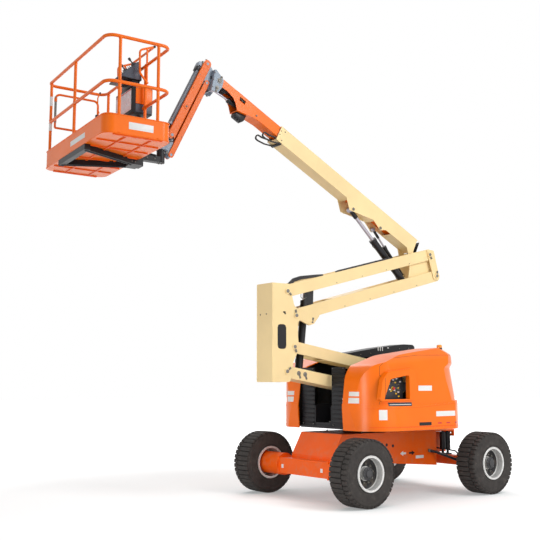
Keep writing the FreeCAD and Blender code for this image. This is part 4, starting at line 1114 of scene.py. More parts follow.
def turntable_fittings():
    """Front guard's edges and bolts, swing motor, valve block with its hoses, and lifting eyes."""
    form = Form(SLEW, "black")
    for side in (-1, 1):
        low = min(side * 0.188, side * 0.434)
        for z in (0.985, 1.715):
            form.block((-0.9345, low, z - 0.006), (-0.9295, low + 0.246, z + 0.006), 0.001)
        form.colour("steel")
        for y in (side * 0.205, side * 0.420):
            for z in (0.975, 1.725):
                form.nut((-0.930, y, z), (-1, 0, 0), 0.016, 0.010)
        form.colour("black")
    form.colour("white")
    form.block((-0.9315, -0.416, 1.20), (-0.9298, -0.392, 1.33), 0.0005)
    # swing motor and valve block between the walls
    form.colour("iron")
    form.bar((-0.52, 0.0, 0.9555), (-0.52, 0.0, 1.025), 0.075, 32, 0.006)
    form.block((-0.80, -0.12, 0.9555), (-0.66, 0.12, 0.995), 0.006)
    form.colour("steel")
    for y in (-0.09, -0.03, 0.03, 0.09):
        form.bar((-0.73, y, 0.995), (-0.73, y, 1.012), 0.014, 6)
    form.colour("hose")
    for index, y in enumerate((-0.105, -0.09, 0.09, 0.105)):
        form.tube([(-0.66, y, 0.98), (-0.60, y, 0.98), (-0.38, y * 1.2, 0.972 + index * 0.003),
                   (0.0, y * 1.2, 0.968),
                   (0.20, y, 0.968)], 0.009, 0.05)
    # lifting eyes on the counterweights
    form.colour("steel")
    for side in (-1, 1):
        y = side * 0.32
        form.tube([(0.78, y - 0.03, 1.699), (0.78, y - 0.03, 1.735), (0.78, y + 0.03, 1.735),
                   (0.78, y + 0.03, 1.699)],
                  0.008, 0.028)
    form.done("turntable_fittings", "turntable")


def cover_fittings():
    """Pale marks and bolts on the dark cover beside the tower."""
    form = Form(SLEW, "white")
    y = 0.1818
    for index in range(3):
        x = 0.30 + index * 0.045
        form.block((x, y - 0.0012, 2.005), (x + 0.014, y + 0.001, 2.070), 0.0005)
    form.block((0.30, y - 0.0012, 2.062), (0.405, y + 0.001, 2.072), 0.0005)
    form.block((0.50, y - 0.0012, 2.045), (0.53, y + 0.001, 2.058), 0.0005)
    form.colour("steel")
    for x, z in ((-0.25, 1.925), (-0.05, 1.945), (0.15, 1.965), (0.75, 2.045), (0.95, 2.055)):
        form.nut((x, 0.1820, z), (0, -1, 0), 0.016, 0.008)
    form.done("cover_fittings", "turntable")


# ---------------------------------------------------------------- tower


def pin_head(form, x, z, y, side, radius, keeper, edge=False):
    """A pin's end at a plate's outer face: washer, head and, at an angle, the keeper plate with its bolt."""
    # with edge set, the washer is in the lighter cream: painted highlight
    form.colour("cream_highlight" if edge else "steel")
    form.washer((x, y + side * 0.002, z), (0, 1, 0), radius + 0.012, radius, 0.004)
    form.colour("steel")
    form.turned([(radius * 0.98, 0.0), (radius * 0.98, 0.004), (radius * 0.72, 0.007), (0.0, 0.007)],
                (x, y + side * 0.006, z), (0, side, 0), 28)
    if keeper is None:
        return
    turn = math.radians(keeper)
    away = Vector((math.cos(turn), 0, math.sin(turn)))
    spot = Vector((x, y + side * 0.003, z)) + away * (radius + 0.030)
    tilt = Matrix.Rotation(-turn, 4, "Y")
    form.block(spot - Vector((0.022, 0.003, 0.013)), spot + Vector((0.022, 0.003, 0.013)), 0.001, turn=tilt)
    form.nut(spot + Vector((0, side * 0.003, 0)) + away * 0.006, (0, side, 0), 0.017, 0.008)


def pin_heads(name, body, local, pins):
    """Pin heads on both sides of one body, from rows of x, z, outer face, radius and keeper angle."""
    form = Form(local, "steel")
    for x, z, outer, radius, keeper in pins:
        for side in (-1, 1):
            pin_head(form, x, z, side * outer, side, radius, keeper, True)
    form.done(name, body)


def offset(point, origin):
    """A joint's place measured from another joint's, in the X-Z plane."""
    here = Vector(joints[point]["pos_m"]) - Vector(joints[origin]["pos_m"])
    return here.x, here.z


def tower_pins():
    """Pin heads of the turntable, upright, end link and lower arm."""
    low = (joints["tower_lift"]["pos_m"][0] - SLEW.translation.x, joints["tower_lift"]["pos_m"][2])
    high = (joints["lower_link_swing"]["pos_m"][0] - SLEW.translation.x,
            joints["lower_link_swing"]["pos_m"][2])
    pin_heads("turntable_pins", "turntable", SLEW, [(*low, 0.182, 0.025, 180), (*high, 0.182, 0.025, 200)])
    arm = offset("upper_arm_swing", "upright_level")
    link = offset("upper_link_swing", "upright_level")
    lower = (0.1293, 0.3231)
    pin_heads("upright_pins", "upright", UPRIGHT, [
        (0, 0, 0.176, 0.025, 40), (*arm, 0.176, 0.025, -40), (*link, 0.176, 0.025, 100),
        (*lower, 0.176, 0.025, -70),
    ])
    boom = offset("main_lift", "end_link_level")
    lift = offset("lift_barrel_swing", "end_link_level")
    pin_heads("end_link_pins", "end_link", END_LINK, [
        (0, 0, 0.176, 0.025, -60), (0.1471, -0.3153, 0.176, 0.025, 80), (*boom, 0.106, 0.025, None),
        (*lift, 0.106, 0.022, None),
    ])
    form = Form(LOWER_ARM, "steel")
    for out, up in ((0.214, 0.010), (0.322, 0.014)):
        for side in (-1, 1):
            pin_head(form, out, up, side * 0.152, side, 0.019, -60)
    form.done("lower_arm_pins", "lower_arm")
    form = Form(UPPER_LINK, "steel")
    for side in (-1, 1):
        pin_head(form, 0.262, -0.150, side * 0.152, side, 0.014, 60, True)
    form.done("link_lug_pins", "upper_link")


def upright_fittings():
    """Hoses behind the upright's slots with a black block of painted shade behind them, dark bands round the
    slots, bolts, edge beads in a lighter cream of painted highlight and a small block.
    """
    form = Form(UPRIGHT, "hose")
    for index in range(5):
        for side in (-1, 1):
            x = -0.146 + index * 0.019
            form.tube([(x, side * 0.135, 0.20), (x, side * 0.140, 0.30), (x, side * 0.140, 0.62),
                       (x - 0.006, side * 0.128, 0.78)], 0.0095, 0.05)
    # a black block behind the hoses: painted shade inside the upright
    form.colour("black")
    form.block((-0.150, -0.128, 0.26), (-0.062, 0.128, 0.66), 0.004)
    form.colour("steel")
    for y, z in ((0.092, 0.742), (-0.039, 0.745)):
        form.nut((-0.2368, y, z), (-1, 0, 0), 0.020, 0.006)
    form.colour("black")
    form.block((-0.060, -0.1725, 0.762), (-0.022, -0.1675, 0.782), 0.002)
    form.bar((-0.030, -0.168, 0.754), (-0.030, -0.1760, 0.754), 0.010, 16)
    # dark bands round the hose slots
    for side in (-1, 1):
        y = side * 0.1682
        lip = [(-0.153, 0.335), (-0.141, 0.302), (-0.112, 0.290), (-0.050, 0.290), (-0.022, 0.302),
               (-0.010, 0.335),
               (-0.010, 0.566), (-0.022, 0.600), (-0.050, 0.612), (-0.112, 0.612), (-0.141, 0.600),
               (-0.153, 0.566)]
        form.plate(lip, y - 0.0012, y + 0.0012)
    # edge beads and bottom edge in the lighter cream: painted highlight
    form.colour("cream_highlight")
    for side in (-1, 1):
        y = side * 0.1685
        form.bead((-0.236, y, -0.13), (-0.236, y, 1.145), radius=0.0035)
    form.block((-0.2366, -0.150, -0.1395), (-0.090, 0.150, -0.1355), 0.001)
    form.done("upright_fittings", "upright")


def arm_beads(form, length, depth, side):
    """Weld beads along one side of a tower arm."""
    y = side * 0.123
    for up in (depth / 2, -depth / 2):
        z = up - math.copysign(0.0015, up)
        form.bead((0.10, y, z), (length - 0.10, y, z), radius=0.0028)


def tower_arms():
    """Beads, collars and bolts of three tower arms, from rows of body, frame, length and depth."""
    rows = (
        ("lower_arm", LOWER_ARM, 2.700, 0.152), ("upper_arm", UPPER_ARM, 2.860, 0.164),
        ("upper_link", UPPER_LINK, 2.860, 0.164),
    )
    for body, local, length, depth in rows:
        # beads and collars in the lighter cream: painted highlight
        form = Form(local, "cream_highlight")
        for side in (-1, 1):
            arm_beads(form, length, depth, side)
            for x in (0, length):
                form.washer((x, side * 0.1535, 0), (0, 1, 0), 0.046, 0.026, 0.003, 36)
        form.colour("steel")
        for x in () if body == "lower_arm" else (0.9, 1.4, 1.9, 2.4):
            for side in (-1, 1):
                form.nut((x, side * 0.1520, -depth / 2 + 0.022), (0, side, 0), 0.014, 0.006)
        form.done("arm_fittings_" + body, body)


def upper_hoses():
    """Hoses of the upper arm: an arch over its front pin and a strip with clips along its top."""
    form = Form(UPPER_ARM, "hose")
    y = -0.137
    top = 0.082
    for row in range(3):
        for step in (0.0, 0.017):
            rise = row * 0.017
            form.tube([(0.690, y + step, top + 0.008 + row * 0.002),
                       (0.560, y + step, top + 0.010 + rise * 0.6),
                       (0.300, y + step, top + 0.026 + rise), (0.170, y + step, top + 0.020 + rise),
                       (0.030, y + step, top - 0.050 + rise), (-0.010, y + step, top - 0.100)], 0.0088, 0.10)
    form.block((0.640, -0.148, top), (0.690, -0.108, top + 0.016), 0.002)
    form.colour("dark")
    form.block((0.930, y - 0.012, top), (2.050, y + 0.012, top + 0.012), 0.002)
    form.colour("hose")
    for step in (-0.006, 0.006):
        form.tube([(0.932, y + step, top + 0.010), (0.98, y + step, top + 0.017),
                   (2.00, y + step, top + 0.017),
                   (2.07, y + step, top + 0.006)], 0.0060, 0.03, 12)
    form.colour("black")
    for index in range(5):
        x = 1.02 + index * 0.235
        form.block((x, y - 0.0135, top + 0.0005), (x + 0.022, y + 0.0135, top + 0.0240), 0.002)
    form.done("arm_hoses_dressed", "upper_arm")


def drop_hoses():
    """Bundle that drops from the upper arm into the open link below it, in front of the tower cylinder."""
    form = Form(UPPER_ARM, "hose")
    for row, y in enumerate((-0.103, -0.082)):
        for index in range(7):
            x = 0.345 + index * 0.0225 + row * 0.010
            form.tube([(x + 0.03, y, 0.02), (x, y, -0.10), (x - 0.045, y, -0.24), (x - 0.055, y, -0.305)],
                      0.0108, 0.08)
    form.colour("dark")
    form.block((0.33, -0.117, -0.045), (0.535, -0.068, -0.020), 0.003)
    form.colour("steel")
    form.tube([(0.27, -0.110, -0.075), (0.25, -0.110, -0.135), (0.29, -0.110, -0.165),
               (0.345, -0.108, -0.150)],
              0.0045, 0.03, 8)
    form.done("drop_hoses", "upper_arm")


# ---------------------------------------------------------------- cylinders


def cylinder_fittings(name, body, local, bore, length, rod_radius, piped):
    """Gland, bands and, if piped, port blocks and pipe of a cylinder's barrel, drawn along its first axis."""
    form = Form(local, "black")
    form.washer((length - 0.018, 0, 0), (1, 0, 0), bore + 0.006, bore - 0.002, 0.036, 40)
    form.washer((length - 0.048, 0, 0), (1, 0, 0), bore + 0.003, bore - 0.002, 0.010, 40)
    form.colour("steel")
    form.washer((length + 0.003, 0, 0), (1, 0, 0), bore * 0.78, rod_radius + 0.001, 0.006, 36)
    if not piped:
        return form.done(name + "_cylinder_fittings", body)
    form.colour("black")
    low, high = 0.210, length - 0.075
    for x in (low, high):
        form.block((x - 0.020, -0.016, bore - 0.006), (x + 0.020, 0.016, bore + 0.010), 0.002)
    form.colour("steel")
    for x in (low, high):
        form.bar((x, 0, bore + 0.008), (x, 0, bore + 0.017), 0.0115, 6)
    form.tube([(low, 0, bore + 0.012), (low, 0, bore + 0.018), (low + 0.055, 0, bore + 0.0075),
               (high - 0.055, 0, bore + 0.0075), (high, 0, bore + 0.018)], 0.0055, 0.03, 10)
    return form.done(name + "_cylinder_fittings", body)


def cylinder_frame(foot, stroke):
    """A frame at a barrel's foot whose first axis follows the stroke."""
    along = Vector(joints[stroke]["axis"]).normalized()
    return axes(joints[foot]["pos_m"], along, along.cross(Vector((0, 1, 0))))


def cylinders():
    """Fittings of the five cylinders, from rows of name, body, bore, length and rod radius."""
    rows = (
        ("tower", "tower_barrel", 0.052, 1.040, 0.032), ("lift", "lift_barrel", 0.050, 0.930, 0.026),
        ("level", "level_barrel", 0.028, 0.560, 0.014), ("slave", "slave_barrel", 0.030, 0.440, 0.013),
        ("jib", "jib_barrel", 0.022, 0.460, 0.012),
    )
    for name, body, bore, length, rod_radius in rows:
        local = cylinder_frame(body + "_swing", name + "_stroke")
        cylinder_fittings(name, body, local, bore, length, rod_radius, bore > 0.04)


def rod_ends():
    """Black rod ends of the two cylinders under the main boom, measured back from each rod's eye."""
    for name, radius in (("lift", 0.033), ("level", 0.020)):
        local = cylinder_frame(name + "_barrel_swing", name + "_stroke")
        back = local.inverted()
        eye = max((back @ corner.co).x for corner in nodes[name + "_cylinder_rod"].data.vertices)
        form = Form(local, "black")
        form.bar((eye - 0.190, 0, 0), (eye - 0.058, 0, 0), radius, 28, 0.003)
        form.done(name + "_rod_end", name + "_rod")


# ---------------------------------------------------------------- main boom and fly

BOOM_HALF = 0.100
FLY_HALF = 0.086


def boom_fittings():
    """Wear pads, collar and bolts at the mouth, weld beads, rear pad and pin heads."""
    # beads and collar in the lighter cream: painted highlight
    form = Form(BOOM, "cream_highlight")
    for side in (-1, 1):
        y = side * (BOOM_HALF + 0.0004)
        form.bead((-2.940, y, 0.1125), (-1.560, y, 0.1125), radius=0.003)
        form.bead((-2.940, y, 0.3255), (0.025, y, 0.3255), radius=0.003)
        # stiffening collar welded round the mouth
        low = min(y, y + side * 0.004)
        form.block((-2.944, low, 0.112), (-2.905, low + 0.004, 0.326), 0.001)
    form.block((-2.944, -0.099, 0.327), (-2.905, 0.099, 0.3315), 0.001)
    form.colour("steel")
    for side in (-1, 1):
        for out, up in ((2.925, 0.262), (2.925, 0.205), (2.860, 0.290), (2.860, 0.148)):
            form.nut((-out, side * (BOOM_HALF + 0.0035 if out > 2.9 else BOOM_HALF), up), (0, side, 0), 0.017,
                     0.007)
    for y in (-0.055, 0.0, 0.055):
        form.nut((-2.880, y, 0.328), (0, 0, 1), 0.017, 0.007)
    # wear pads that show round the fly
    form.colour("dark")
    for side in (-1, 1):
        low = min(side * 0.0868, side * 0.0915)
        for up in (0.182, 0.268):
            form.block((-2.952, low, up), (-2.880, low + 0.0047, up + 0.036), 0.001)
    for y in (-0.070, 0.034):
        form.block((-2.952, y, 0.3145), (-2.880, y + 0.036, 0.3195), 0.001)
        form.block((-2.948, y, 0.1440), (-2.880, y + 0.036, 0.1530), 0.001)
    # pads and stops at the rear end
    form.colour("black")
    form.block((0.028, -0.094, 0.118), (0.034, 0.094, 0.320), 0.002)
    form.colour("steel")
    for y in (-0.07, 0.07):
        for up in (0.15, 0.29):
            form.nut((0.034, y, up), (1, 0, 0), 0.016, 0.008)
    for out, up, outer in ((1.345, 0.025, 0.104), (0.770, 0.070, 0.104)):
        for side in (-1, 1):
            pin_head(form, -out, up, side * outer, side, 0.011, None)
    form.done("boom_fittings", "main_boom")


def boom_hose_loop():
    """Four hoses that loop under the boom's mouth, and the block that holds them."""
    form = Form(BOOM, "hose")
    for y in (-0.086, -0.070, 0.070, 0.086):
        form.tube([(-2.842, y, 0.0965), (-2.880, y, 0.092), (-2.990, y, 0.044), (-3.100, y, 0.020),
                   (-3.146, y, 0.022), (-3.150, y, 0.090), (-3.060, y, 0.100), (-2.970, y, 0.132),
                   (-2.900, y, 0.1365)],
                  0.0075, 0.036, 12, 5)
    form.colour("black")
    form.block((-2.874, -0.096, 0.086), (-2.838, 0.096, 0.1095), 0.003)
    form.colour("steel")
    for y in (-0.050, 0.050):
        form.nut((-2.856, y, 0.087), (0, 0, -1), 0.010, 0.004)
    form.done("boom_hose_loop", "main_boom")


def under_head(out):
    """How high the fly head's underside lies at a distance out."""
    return 0.145 - (out - 3.400) * 0.073 / 0.236


def fly_fittings():
    """Slot lips, beads, doublers round the mount's pin and bolts of the fly."""
    form = Form(BOOM, "orange")
    slot = [(-3.683, 0.274), (-3.683, 0.220), (-3.575, 0.220), (-3.575, 0.274)]
    for side in (-1, 1):
        y = side * (FLY_HALF + 0.0005)
        form.tube([(x, y, z) for x, z in slot] + [(-3.683, y, 0.274)], 0.0022, 0.006, 8, 4)
        form.bead((-3.24, y, 0.1675), (-2.96, y, 0.1675), radius=0.0025)
        form.bead((-3.76, y, 0.3120), (-2.96, y, 0.3120), radius=0.0025)
        form.tube([(-3.250, y, 0.170), (-3.400, y, 0.148), (-3.634, y, 0.076)], 0.0030, 0.02, 8)
        # doubler plates round the mount's pin
        form.collar((-4.045, side * 0.0858, 0.245), (0, side, 0), 0.052, 0.0265, 0.0035, 40)
    form.colour("seam")
    for side in (-1, 1):
        low = min(side * 0.072, side * 0.074)
        form.block((-3.690, low, 0.246), (-3.568, low + 0.002, 0.280), 0.0)
    form.colour("rod")
    form.block((-3.686, -0.072, 0.219), (-3.572, 0.072, 0.226), 0.002)
    form.colour("steel")
    for side in (-1, 1):
        for out, up in ((3.620, 0.246), (3.648, 0.262)):
            form.nut((-out, side * 0.074, up), (0, side, 0), 0.012, 0.005)
        form.nut((-3.350, side * (FLY_HALF - 0.002), 0.205), (0, side, 0), 0.030, 0.009)
    form.done("fly_fittings", "fly_boom")


def fly_block():
    """The dark block under the fly's head."""
    form = Form(BOOM, "black")
    outline = [(-3.623, under_head(3.623) + 0.004), (-3.623, 0.041), (-3.610, 0.019), (-3.480, 0.019),
               (-3.471, 0.047),
               (-3.471, under_head(3.471) + 0.004)]
    form.plate(outline, -0.055, 0.055, 0.003)
    form.colour("dark")
    for out in (3.500, 3.540, 3.580):
        form.bar((-out, 0.0, 0.0195), (-out, 0.0, 0.004), 0.011, 6)
    form.done("fly_block", "fly_boom")


def fly_tip_hoses():
    """Hoses that curl inside the fly's fork."""
    form = Form(BOOM, "hose")
    for index, y in enumerate((-0.052, -0.034, -0.016, 0.016, 0.034, 0.052)):
        rise = 0.012 * (index % 3)
        form.tube([(-3.700, y, 0.280), (-3.860, y, 0.286 - rise), (-3.940, y, 0.262 - rise),
                   (-3.935, y, 0.225 - rise),
                   (-3.860, y, 0.236 - rise)], 0.0075, 0.028, 10, 5)
    form.colour("black")
    form.block((-3.725, -0.066, 0.268), (-3.690, 0.066, 0.294), 0.003)
    form.done("fly_tip_hoses", "fly_boom")


# ---------------------------------------------------------------- mount, jib and head


def mount_fittings():
    """Pin heads, bolts, bridge edges and a clamp of the levelled yoke."""
    form = Form(MOUNT, "steel")
    for side in (-1, 1):
        pin_head(form, 0, 0, side * 0.1025, side, 0.025, 60)
        pin_head(form, -0.040, -0.102, side * 0.1065, side, 0.015, -110)
        pin_head(form, -0.162, 0.201, side * 0.0375, side, 0.018, 95)
        pin_head(form, -0.162, -0.049, side * 0.0375, side, 0.018, 185)
        for x, z in ((-0.072, 0.095), (-0.092, 0.0), (-0.108, -0.100)):
            form.nut((x, side * 0.1020, z), (0, side, 0), 0.015, 0.007)
    form.colour("grey")
    for side in (-1, 1):
        y = side * 0.1022
        form.bead((-0.052, y, 0.136), (0.054, y, 0.034), radius=0.0028)
        form.bead((-0.060, y, 0.125), (-0.118, y, -0.100), radius=0.0028)
        form.collar((0, side * 0.1015, 0), (0, side, 0), 0.042, 0.0255, 0.004, 36)
    form.colour("dark")
    form.block((-0.101, -0.060, 0.020), (-0.086, 0.060, 0.060), 0.003)
    form.done("mount_fittings", "jib_mount")


JIB_LENGTH = 1.150


def jib_fittings():
    """Rolled edges, pin bosses, eye bolts and weld beads of the jib's upper member."""
    # darkened orange: painted shade
    form = Form(JIB, "jib_shaded_orange")
    for side in (-1, 1):
        y = side * 0.0664
        for up in (-0.0505, 0.0505):
            form.bead((-JIB_LENGTH, y, up), (0.0, y, up), radius=0.0026)
        for out in (0.0, JIB_LENGTH):
            form.collar((-out, side * 0.0658, 0), (0, side, 0), 0.036, 0.0195, 0.0045, 36)
        form.collar((-0.700, side * 0.0695, 0), (0, side, 0), 0.0365, 0.0235, 0.003, 36)
    form.colour("steel")
    for side in (-1, 1):
        form.nut((-0.700, side * 0.0700, 0), (0, side, 0), 0.026, 0.008)
        for out in (0.200, 0.420, 0.940):
            form.nut((-out, side * 0.0660, 0.030), (0, side, 0), 0.012, 0.005)
    form.done("jib_fittings", "jib_arm")


def jib_hose_cover():
    """Hose cover along the arm: a black mouth at its foot, then a grey channel with grooves and its hoses."""
    form = Form(JIB, "black")
    form.block((-0.155, -0.0465, 0.0525), (-0.070, 0.0465, 0.1035), 0.010)
    form.block((-0.985, -0.0400, 0.0525), (-0.150, 0.0400, 0.0560), 0.001)
    form.colour("cover_grey")
    form.block((-0.985, -0.0385, 0.0555), (-0.150, 0.0385, 0.0855), 0.004)
    form.colour("dark")
    for side in (-1, 1):
        for z in (0.0650, 0.0750):
            form.block((-0.984, side * 0.0386 - 0.0006, z - 0.0009),
                       (-0.151, side * 0.0386 + 0.0006, z + 0.0009), 0.0)
    for y in (-0.020, 0.0, 0.020):
        form.block((-0.984, y - 0.0009, 0.0850), (-0.151, y + 0.0009, 0.0861), 0.0)
    form.colour("steel")
    form.block((-0.045, -0.046, 0.052), (-0.020, 0.046, 0.064), 0.002)
    form.colour("hose")
    for y in (-0.028, -0.010, 0.010, 0.028):
        form.tube([(-0.995, y, 0.072), (-1.030, y, 0.074), (-1.060, y, 0.068), (-1.075, y, 0.0575)],
                  0.0065, 0.05, 10, 5)
        form.tube([(-0.090, y, 0.078), (-0.030, y, 0.080), (-0.010, y, 0.072), (0.000, y, 0.0575)],
                  0.0065, 0.04, 10, 5)
    form.done("jib_track_links", "jib_arm")


def jib_link_fittings():
    """Rolled edges, pin bosses and bolts of the jib's lower member."""
    # darkened orange: painted shade
    form = Form(JIB_LINK, "jib_shaded_orange")
    for side in (-1, 1):
        y = side * 0.0524
        for up in (-0.0335, 0.0335):
            form.bead((-JIB_LENGTH, y, up), (0.0, y, up), radius=0.0022)
        for out in (0.0, JIB_LENGTH):
            form.collar((-out, side * 0.0518, 0), (0, side, 0), 0.030, 0.0195, 0.004, 32)
    form.colour("steel")
    for side in (-1, 1):
        for out in (0.260, 0.560, 0.860):
            form.nut((-out, side * 0.0520, -0.020), (0, side, 0), 0.012, 0.005)
    form.done("jib_link_fittings", "jib_link")


def head_fittings():
    """Pins, actuator flanges and ports, and the hoses that turn down to the platform."""
    form = Form(HEAD, "steel")
    for side in (-1, 1):
        pin_head(form, 0, 0, side * 0.0375, side, 0.018, 200)
        pin_head(form, 0, -0.250, side * 0.0375, side, 0.018, 160)
    form.colour("grey")
    low, high = -0.202, -0.037
    for z in (low + 0.004, high - 0.014):
        form.turned([(0.071, 0), (0.0765, 0.002), (0.0765, 0.012), (0.071, 0.014), (0.071, 0)],
                    (-0.120, 0, z - 0.002), (0, 0, 1), 56)
    form.turned([(0.060, 0), (0.060, 0.008), (0.040, 0.012), (0.0, 0.012)], (-0.120, 0, high), (0, 0, 1), 40)
    form.colour("steel")
    bolt_circle(form, (-0.120, 0, high + 0.0005), (0, 0, 1), 0.066, 10, 0.011, 0.006)
    form.nut((-0.120, 0, high + 0.011), (0, 0, 1), 0.040, 0.014)
    form.colour("black")
    form.block((-0.150, -0.100, -0.150), (-0.090, -0.066, -0.085), 0.004)
    form.colour("steel")
    for z in (-0.135, -0.102):
        form.bar((-0.120, -0.098, z), (-0.120, -0.116, z), 0.010, 6)
    form.colour("hose")
    for z in (-0.135, -0.102):
        form.tube([(-0.120, -0.112, z), (-0.120, -0.140, z), (-0.060, -0.150, z + 0.02),
                   (0.010, -0.095, z + 0.05),
                   (0.022, -0.045, 0.02 + z * 0.3)], 0.006, 0.04, 10, 5)
    form.done("head_fittings", "jib_head")


# ---------------------------------------------------------------- platform

BASKET_NEAR = -0.335
BASKET_FAR = -1.129
BASKET_END = 1.000
RAIL_NEAR = -0.354
RAIL_FAR = -1.110
RAIL_END = 0.981
RAIL_TOP = 1.099
RAIL_MID = 0.586


def tub_fittings():
    """Rolled lip, ribs beneath, drain slots, grip pattern and blank plates of the tub."""
    form = Form(PLATFORM, "orange")
    lip = 0.214
    reach = 0.110
    near, far, end = BASKET_NEAR - 0.001, BASKET_FAR + 0.001, BASKET_END - 0.001
    loop = [(near, 0, lip), (near, -end, lip), (far, -end, lip), (far, end, lip), (near, end, lip),
            (near, 0.001, lip)]
    form.tube(loop, 0.0065, reach, 12, 12)
    base = 0.010
    form.tube([(x, y, base) for x, y, _ in loop], 0.0055, reach, 12, 12)
    # ribs pressed into the floor, seen from beneath
    form.colour("deep_orange")
    for y in (-0.700, -0.420, -0.140, 0.140, 0.420, 0.700):
        form.block((BASKET_FAR + 0.030, y - 0.011, -0.012), (BASKET_NEAR - 0.030, y + 0.011, 0.001), 0.004)
    for x in (-0.560, -0.860):
        form.block((x - 0.011, -0.930, -0.011), (x + 0.011, 0.930, 0.001), 0.004)
    for side in (-1, 1):
        low = min(side * 0.955, side * 0.990)
        form.block((BASKET_FAR + 0.110, low, -0.012), (BASKET_NEAR - 0.110, low + 0.035, 0.001), 0.004)
    # drain slots and a grip pattern on the floor
    form.colour("seam")
    for index in range(9):
        y = -0.800 + index * 0.200
        for x in (BASKET_FAR + 0.006, BASKET_NEAR - 0.010):
            form.block((x - 0.001 if x < -0.7 else x, y - 0.030, 0.012), (x + 0.003, y + 0.030, 0.0135),
                       0.0005)
    form.colour("rim")
    for row in range(7):
        for column in range(15):
            x = BASKET_FAR + 0.092 + row * 0.100
            y = -0.910 + column * 0.130
            form.turned([(0.021, 0.0), (0.018, 0.0022), (0.013, 0.0022), (0.011, 0.0)], (x, y, 0.0118),
                        (0, 0, 1), 16)
    form.colour("white")
    form.block((BASKET_FAR - 0.0008, -0.420, 0.075), (BASKET_FAR + 0.0008, 0.050, 0.135), 0.0005)
    form.block((-0.850, -BASKET_END - 0.0008, 0.070), (-0.560, -BASKET_END + 0.0008, 0.150), 0.0005)
    form.done("tub_fittings", "platform")


def rail_fittings():
    """Weld collars and feet of the posts, blank labels and lanyard rings."""
    form = Form(PLATFORM, "orange")
    posts = [(RAIL_NEAR, 0.860), (RAIL_FAR, 0.860), (RAIL_FAR, 0.0), (RAIL_FAR + 0.150, -RAIL_END),
             (RAIL_NEAR - 0.150, -RAIL_END), (RAIL_NEAR, -0.300), (RAIL_NEAR, 0.450)]
    for x, y in posts:
        for z in (0.0125, 0.2145, RAIL_MID - 0.021, RAIL_MID + 0.015, RAIL_TOP - 0.024):
            form.turned([(0.0180, 0.0), (0.0222, 0.001), (0.0222, 0.004), (0.0180, 0.006), (0.0180, 0.0)],
                        (x, y, z), (0, 0, 1), 24)
        # foot plate of each post on the tub's wall
        form.turned([(0.0300, 0.0), (0.0300, 0.006), (0.0192, 0.008), (0.0192, 0.0), (0.0300, 0.0)],
                    (x, y, 0.0120), (0, 0, 1), 28)
    # blank labels on the end posts
    form.colour("white")
    for z in (0.790, 0.470):
        form.turned([(0.0182, 0.0), (0.0190, 0.001), (0.0190, 0.119), (0.0182, 0.120), (0.0182, 0.0)],
                    (RAIL_FAR, 0.860, z), (0, 0, 1), 28)
    # lanyard rings on the posts' feet
    form.colour("steel")
    for y in (-0.300, 0.450):
        form.block((RAIL_NEAR - 0.024, y - 0.020, 0.300), (RAIL_NEAR - 0.0165, y + 0.020, 0.352), 0.002)
        form.tube([(RAIL_NEAR - 0.022, y, 0.312), (RAIL_NEAR - 0.052, y, 0.300),
                   (RAIL_NEAR - 0.052, y, 0.352),
                   (RAIL_NEAR - 0.022, y, 0.342)], 0.0045, 0.018, 10, 5)
    form.done("rail_fittings", "platform")


def grab_loop():
    """Bent grab loop outside the corner post, with its dark cap."""
    form = Form(PLATFORM, "orange")
    form.tube([(RAIL_FAR - 0.004, -0.800, 0.250), (RAIL_FAR - 0.024, -0.800, 0.300),
               (RAIL_FAR - 0.024, -0.800, 0.420),
               (RAIL_FAR - 0.004, -0.800, 0.470)], 0.007, 0.03, 12, 5)
    form.colour("black")
    form.turned([(0.0, 0.0), (0.0092, 0.002), (0.0092, 0.026), (0.0, 0.028)],
                (RAIL_FAR - 0.004, -0.800, 0.462),
                (0.3, 0, 1), 16)
    form.done("grab_loop", "platform")


def gate_fittings():
    """Hinge sleeves, hinge pin and latch of the swing gate."""
    form = Form(PLATFORM, "orange")
    hinge = BASKET_FAR + 0.019 + 0.095
    latch = BASKET_NEAR - 0.019 - 0.095
    for z in (0.640, 0.900):
        form.turned([(0.0140, 0.0), (0.0188, 0.001), (0.0188, 0.049), (0.0140, 0.050), (0.0140, 0.0)],
                    (hinge, RAIL_END, z), (0, 0, 1), 28)
    form.colour("steel")
    form.bar((hinge, RAIL_END, 0.625), (hinge, RAIL_END, 0.965), 0.0155, 20)
    form.colour("black")
    form.block((latch - 0.030, RAIL_END - 0.020, 0.760), (latch + 0.026, RAIL_END + 0.020, 0.820), 0.005)
    form.colour("red")
    form.bar((latch - 0.014, RAIL_END - 0.030, 0.790), (latch - 0.014, RAIL_END - 0.060, 0.790), 0.011, 20,
             0.002)
    form.done("gate_fittings", "basket_gate")


def guard_hoop():
    """Bent guard tubes over the console, their posts and the cross bar between them."""
    form = Form(PLATFORM, "orange")
    for side in (-1, 1):
        y = side * 0.330
        form.tube([(-0.350, y, 0.885), (-0.440, y, 0.990), (-0.447, y, 1.270), (-0.262, y, 1.346)], 0.013,
                  0.060, 16, 8)
        form.bar((-0.351, y, 0.885), (-0.351, y, 1.308), 0.012, 20)
        form.turned([(0.0190, -0.016), (0.0228, -0.014), (0.0228, 0.014), (0.0190, 0.016), (0.0190, -0.016)],
                    (RAIL_NEAR, y, RAIL_TOP), (0, 1, 0), 24)
        form.block((-0.372, y - 0.020, 0.870), (-0.336, y + 0.020, 0.892), 0.003)
    form.bar((-0.262, -0.338, 1.346), (-0.262, 0.338, 1.346), 0.0145, 24, 0.003)
    form.colour("black")
    for side in (-1, 1):
        form.turned([(0.0, 0.0), (0.0156, 0.001), (0.0162, 0.010), (0.0130, 0.012), (0.0, 0.012)],
                    (-0.262, side * 0.334, 1.346), (0, side, 0), 24)
    form.done("guard_hoop", "platform")


# the lower and upper edge of the desk's slope, in x and z
DESK_LOW = (-0.662, 0.936)
DESK_HIGH = (-0.428, 1.158)


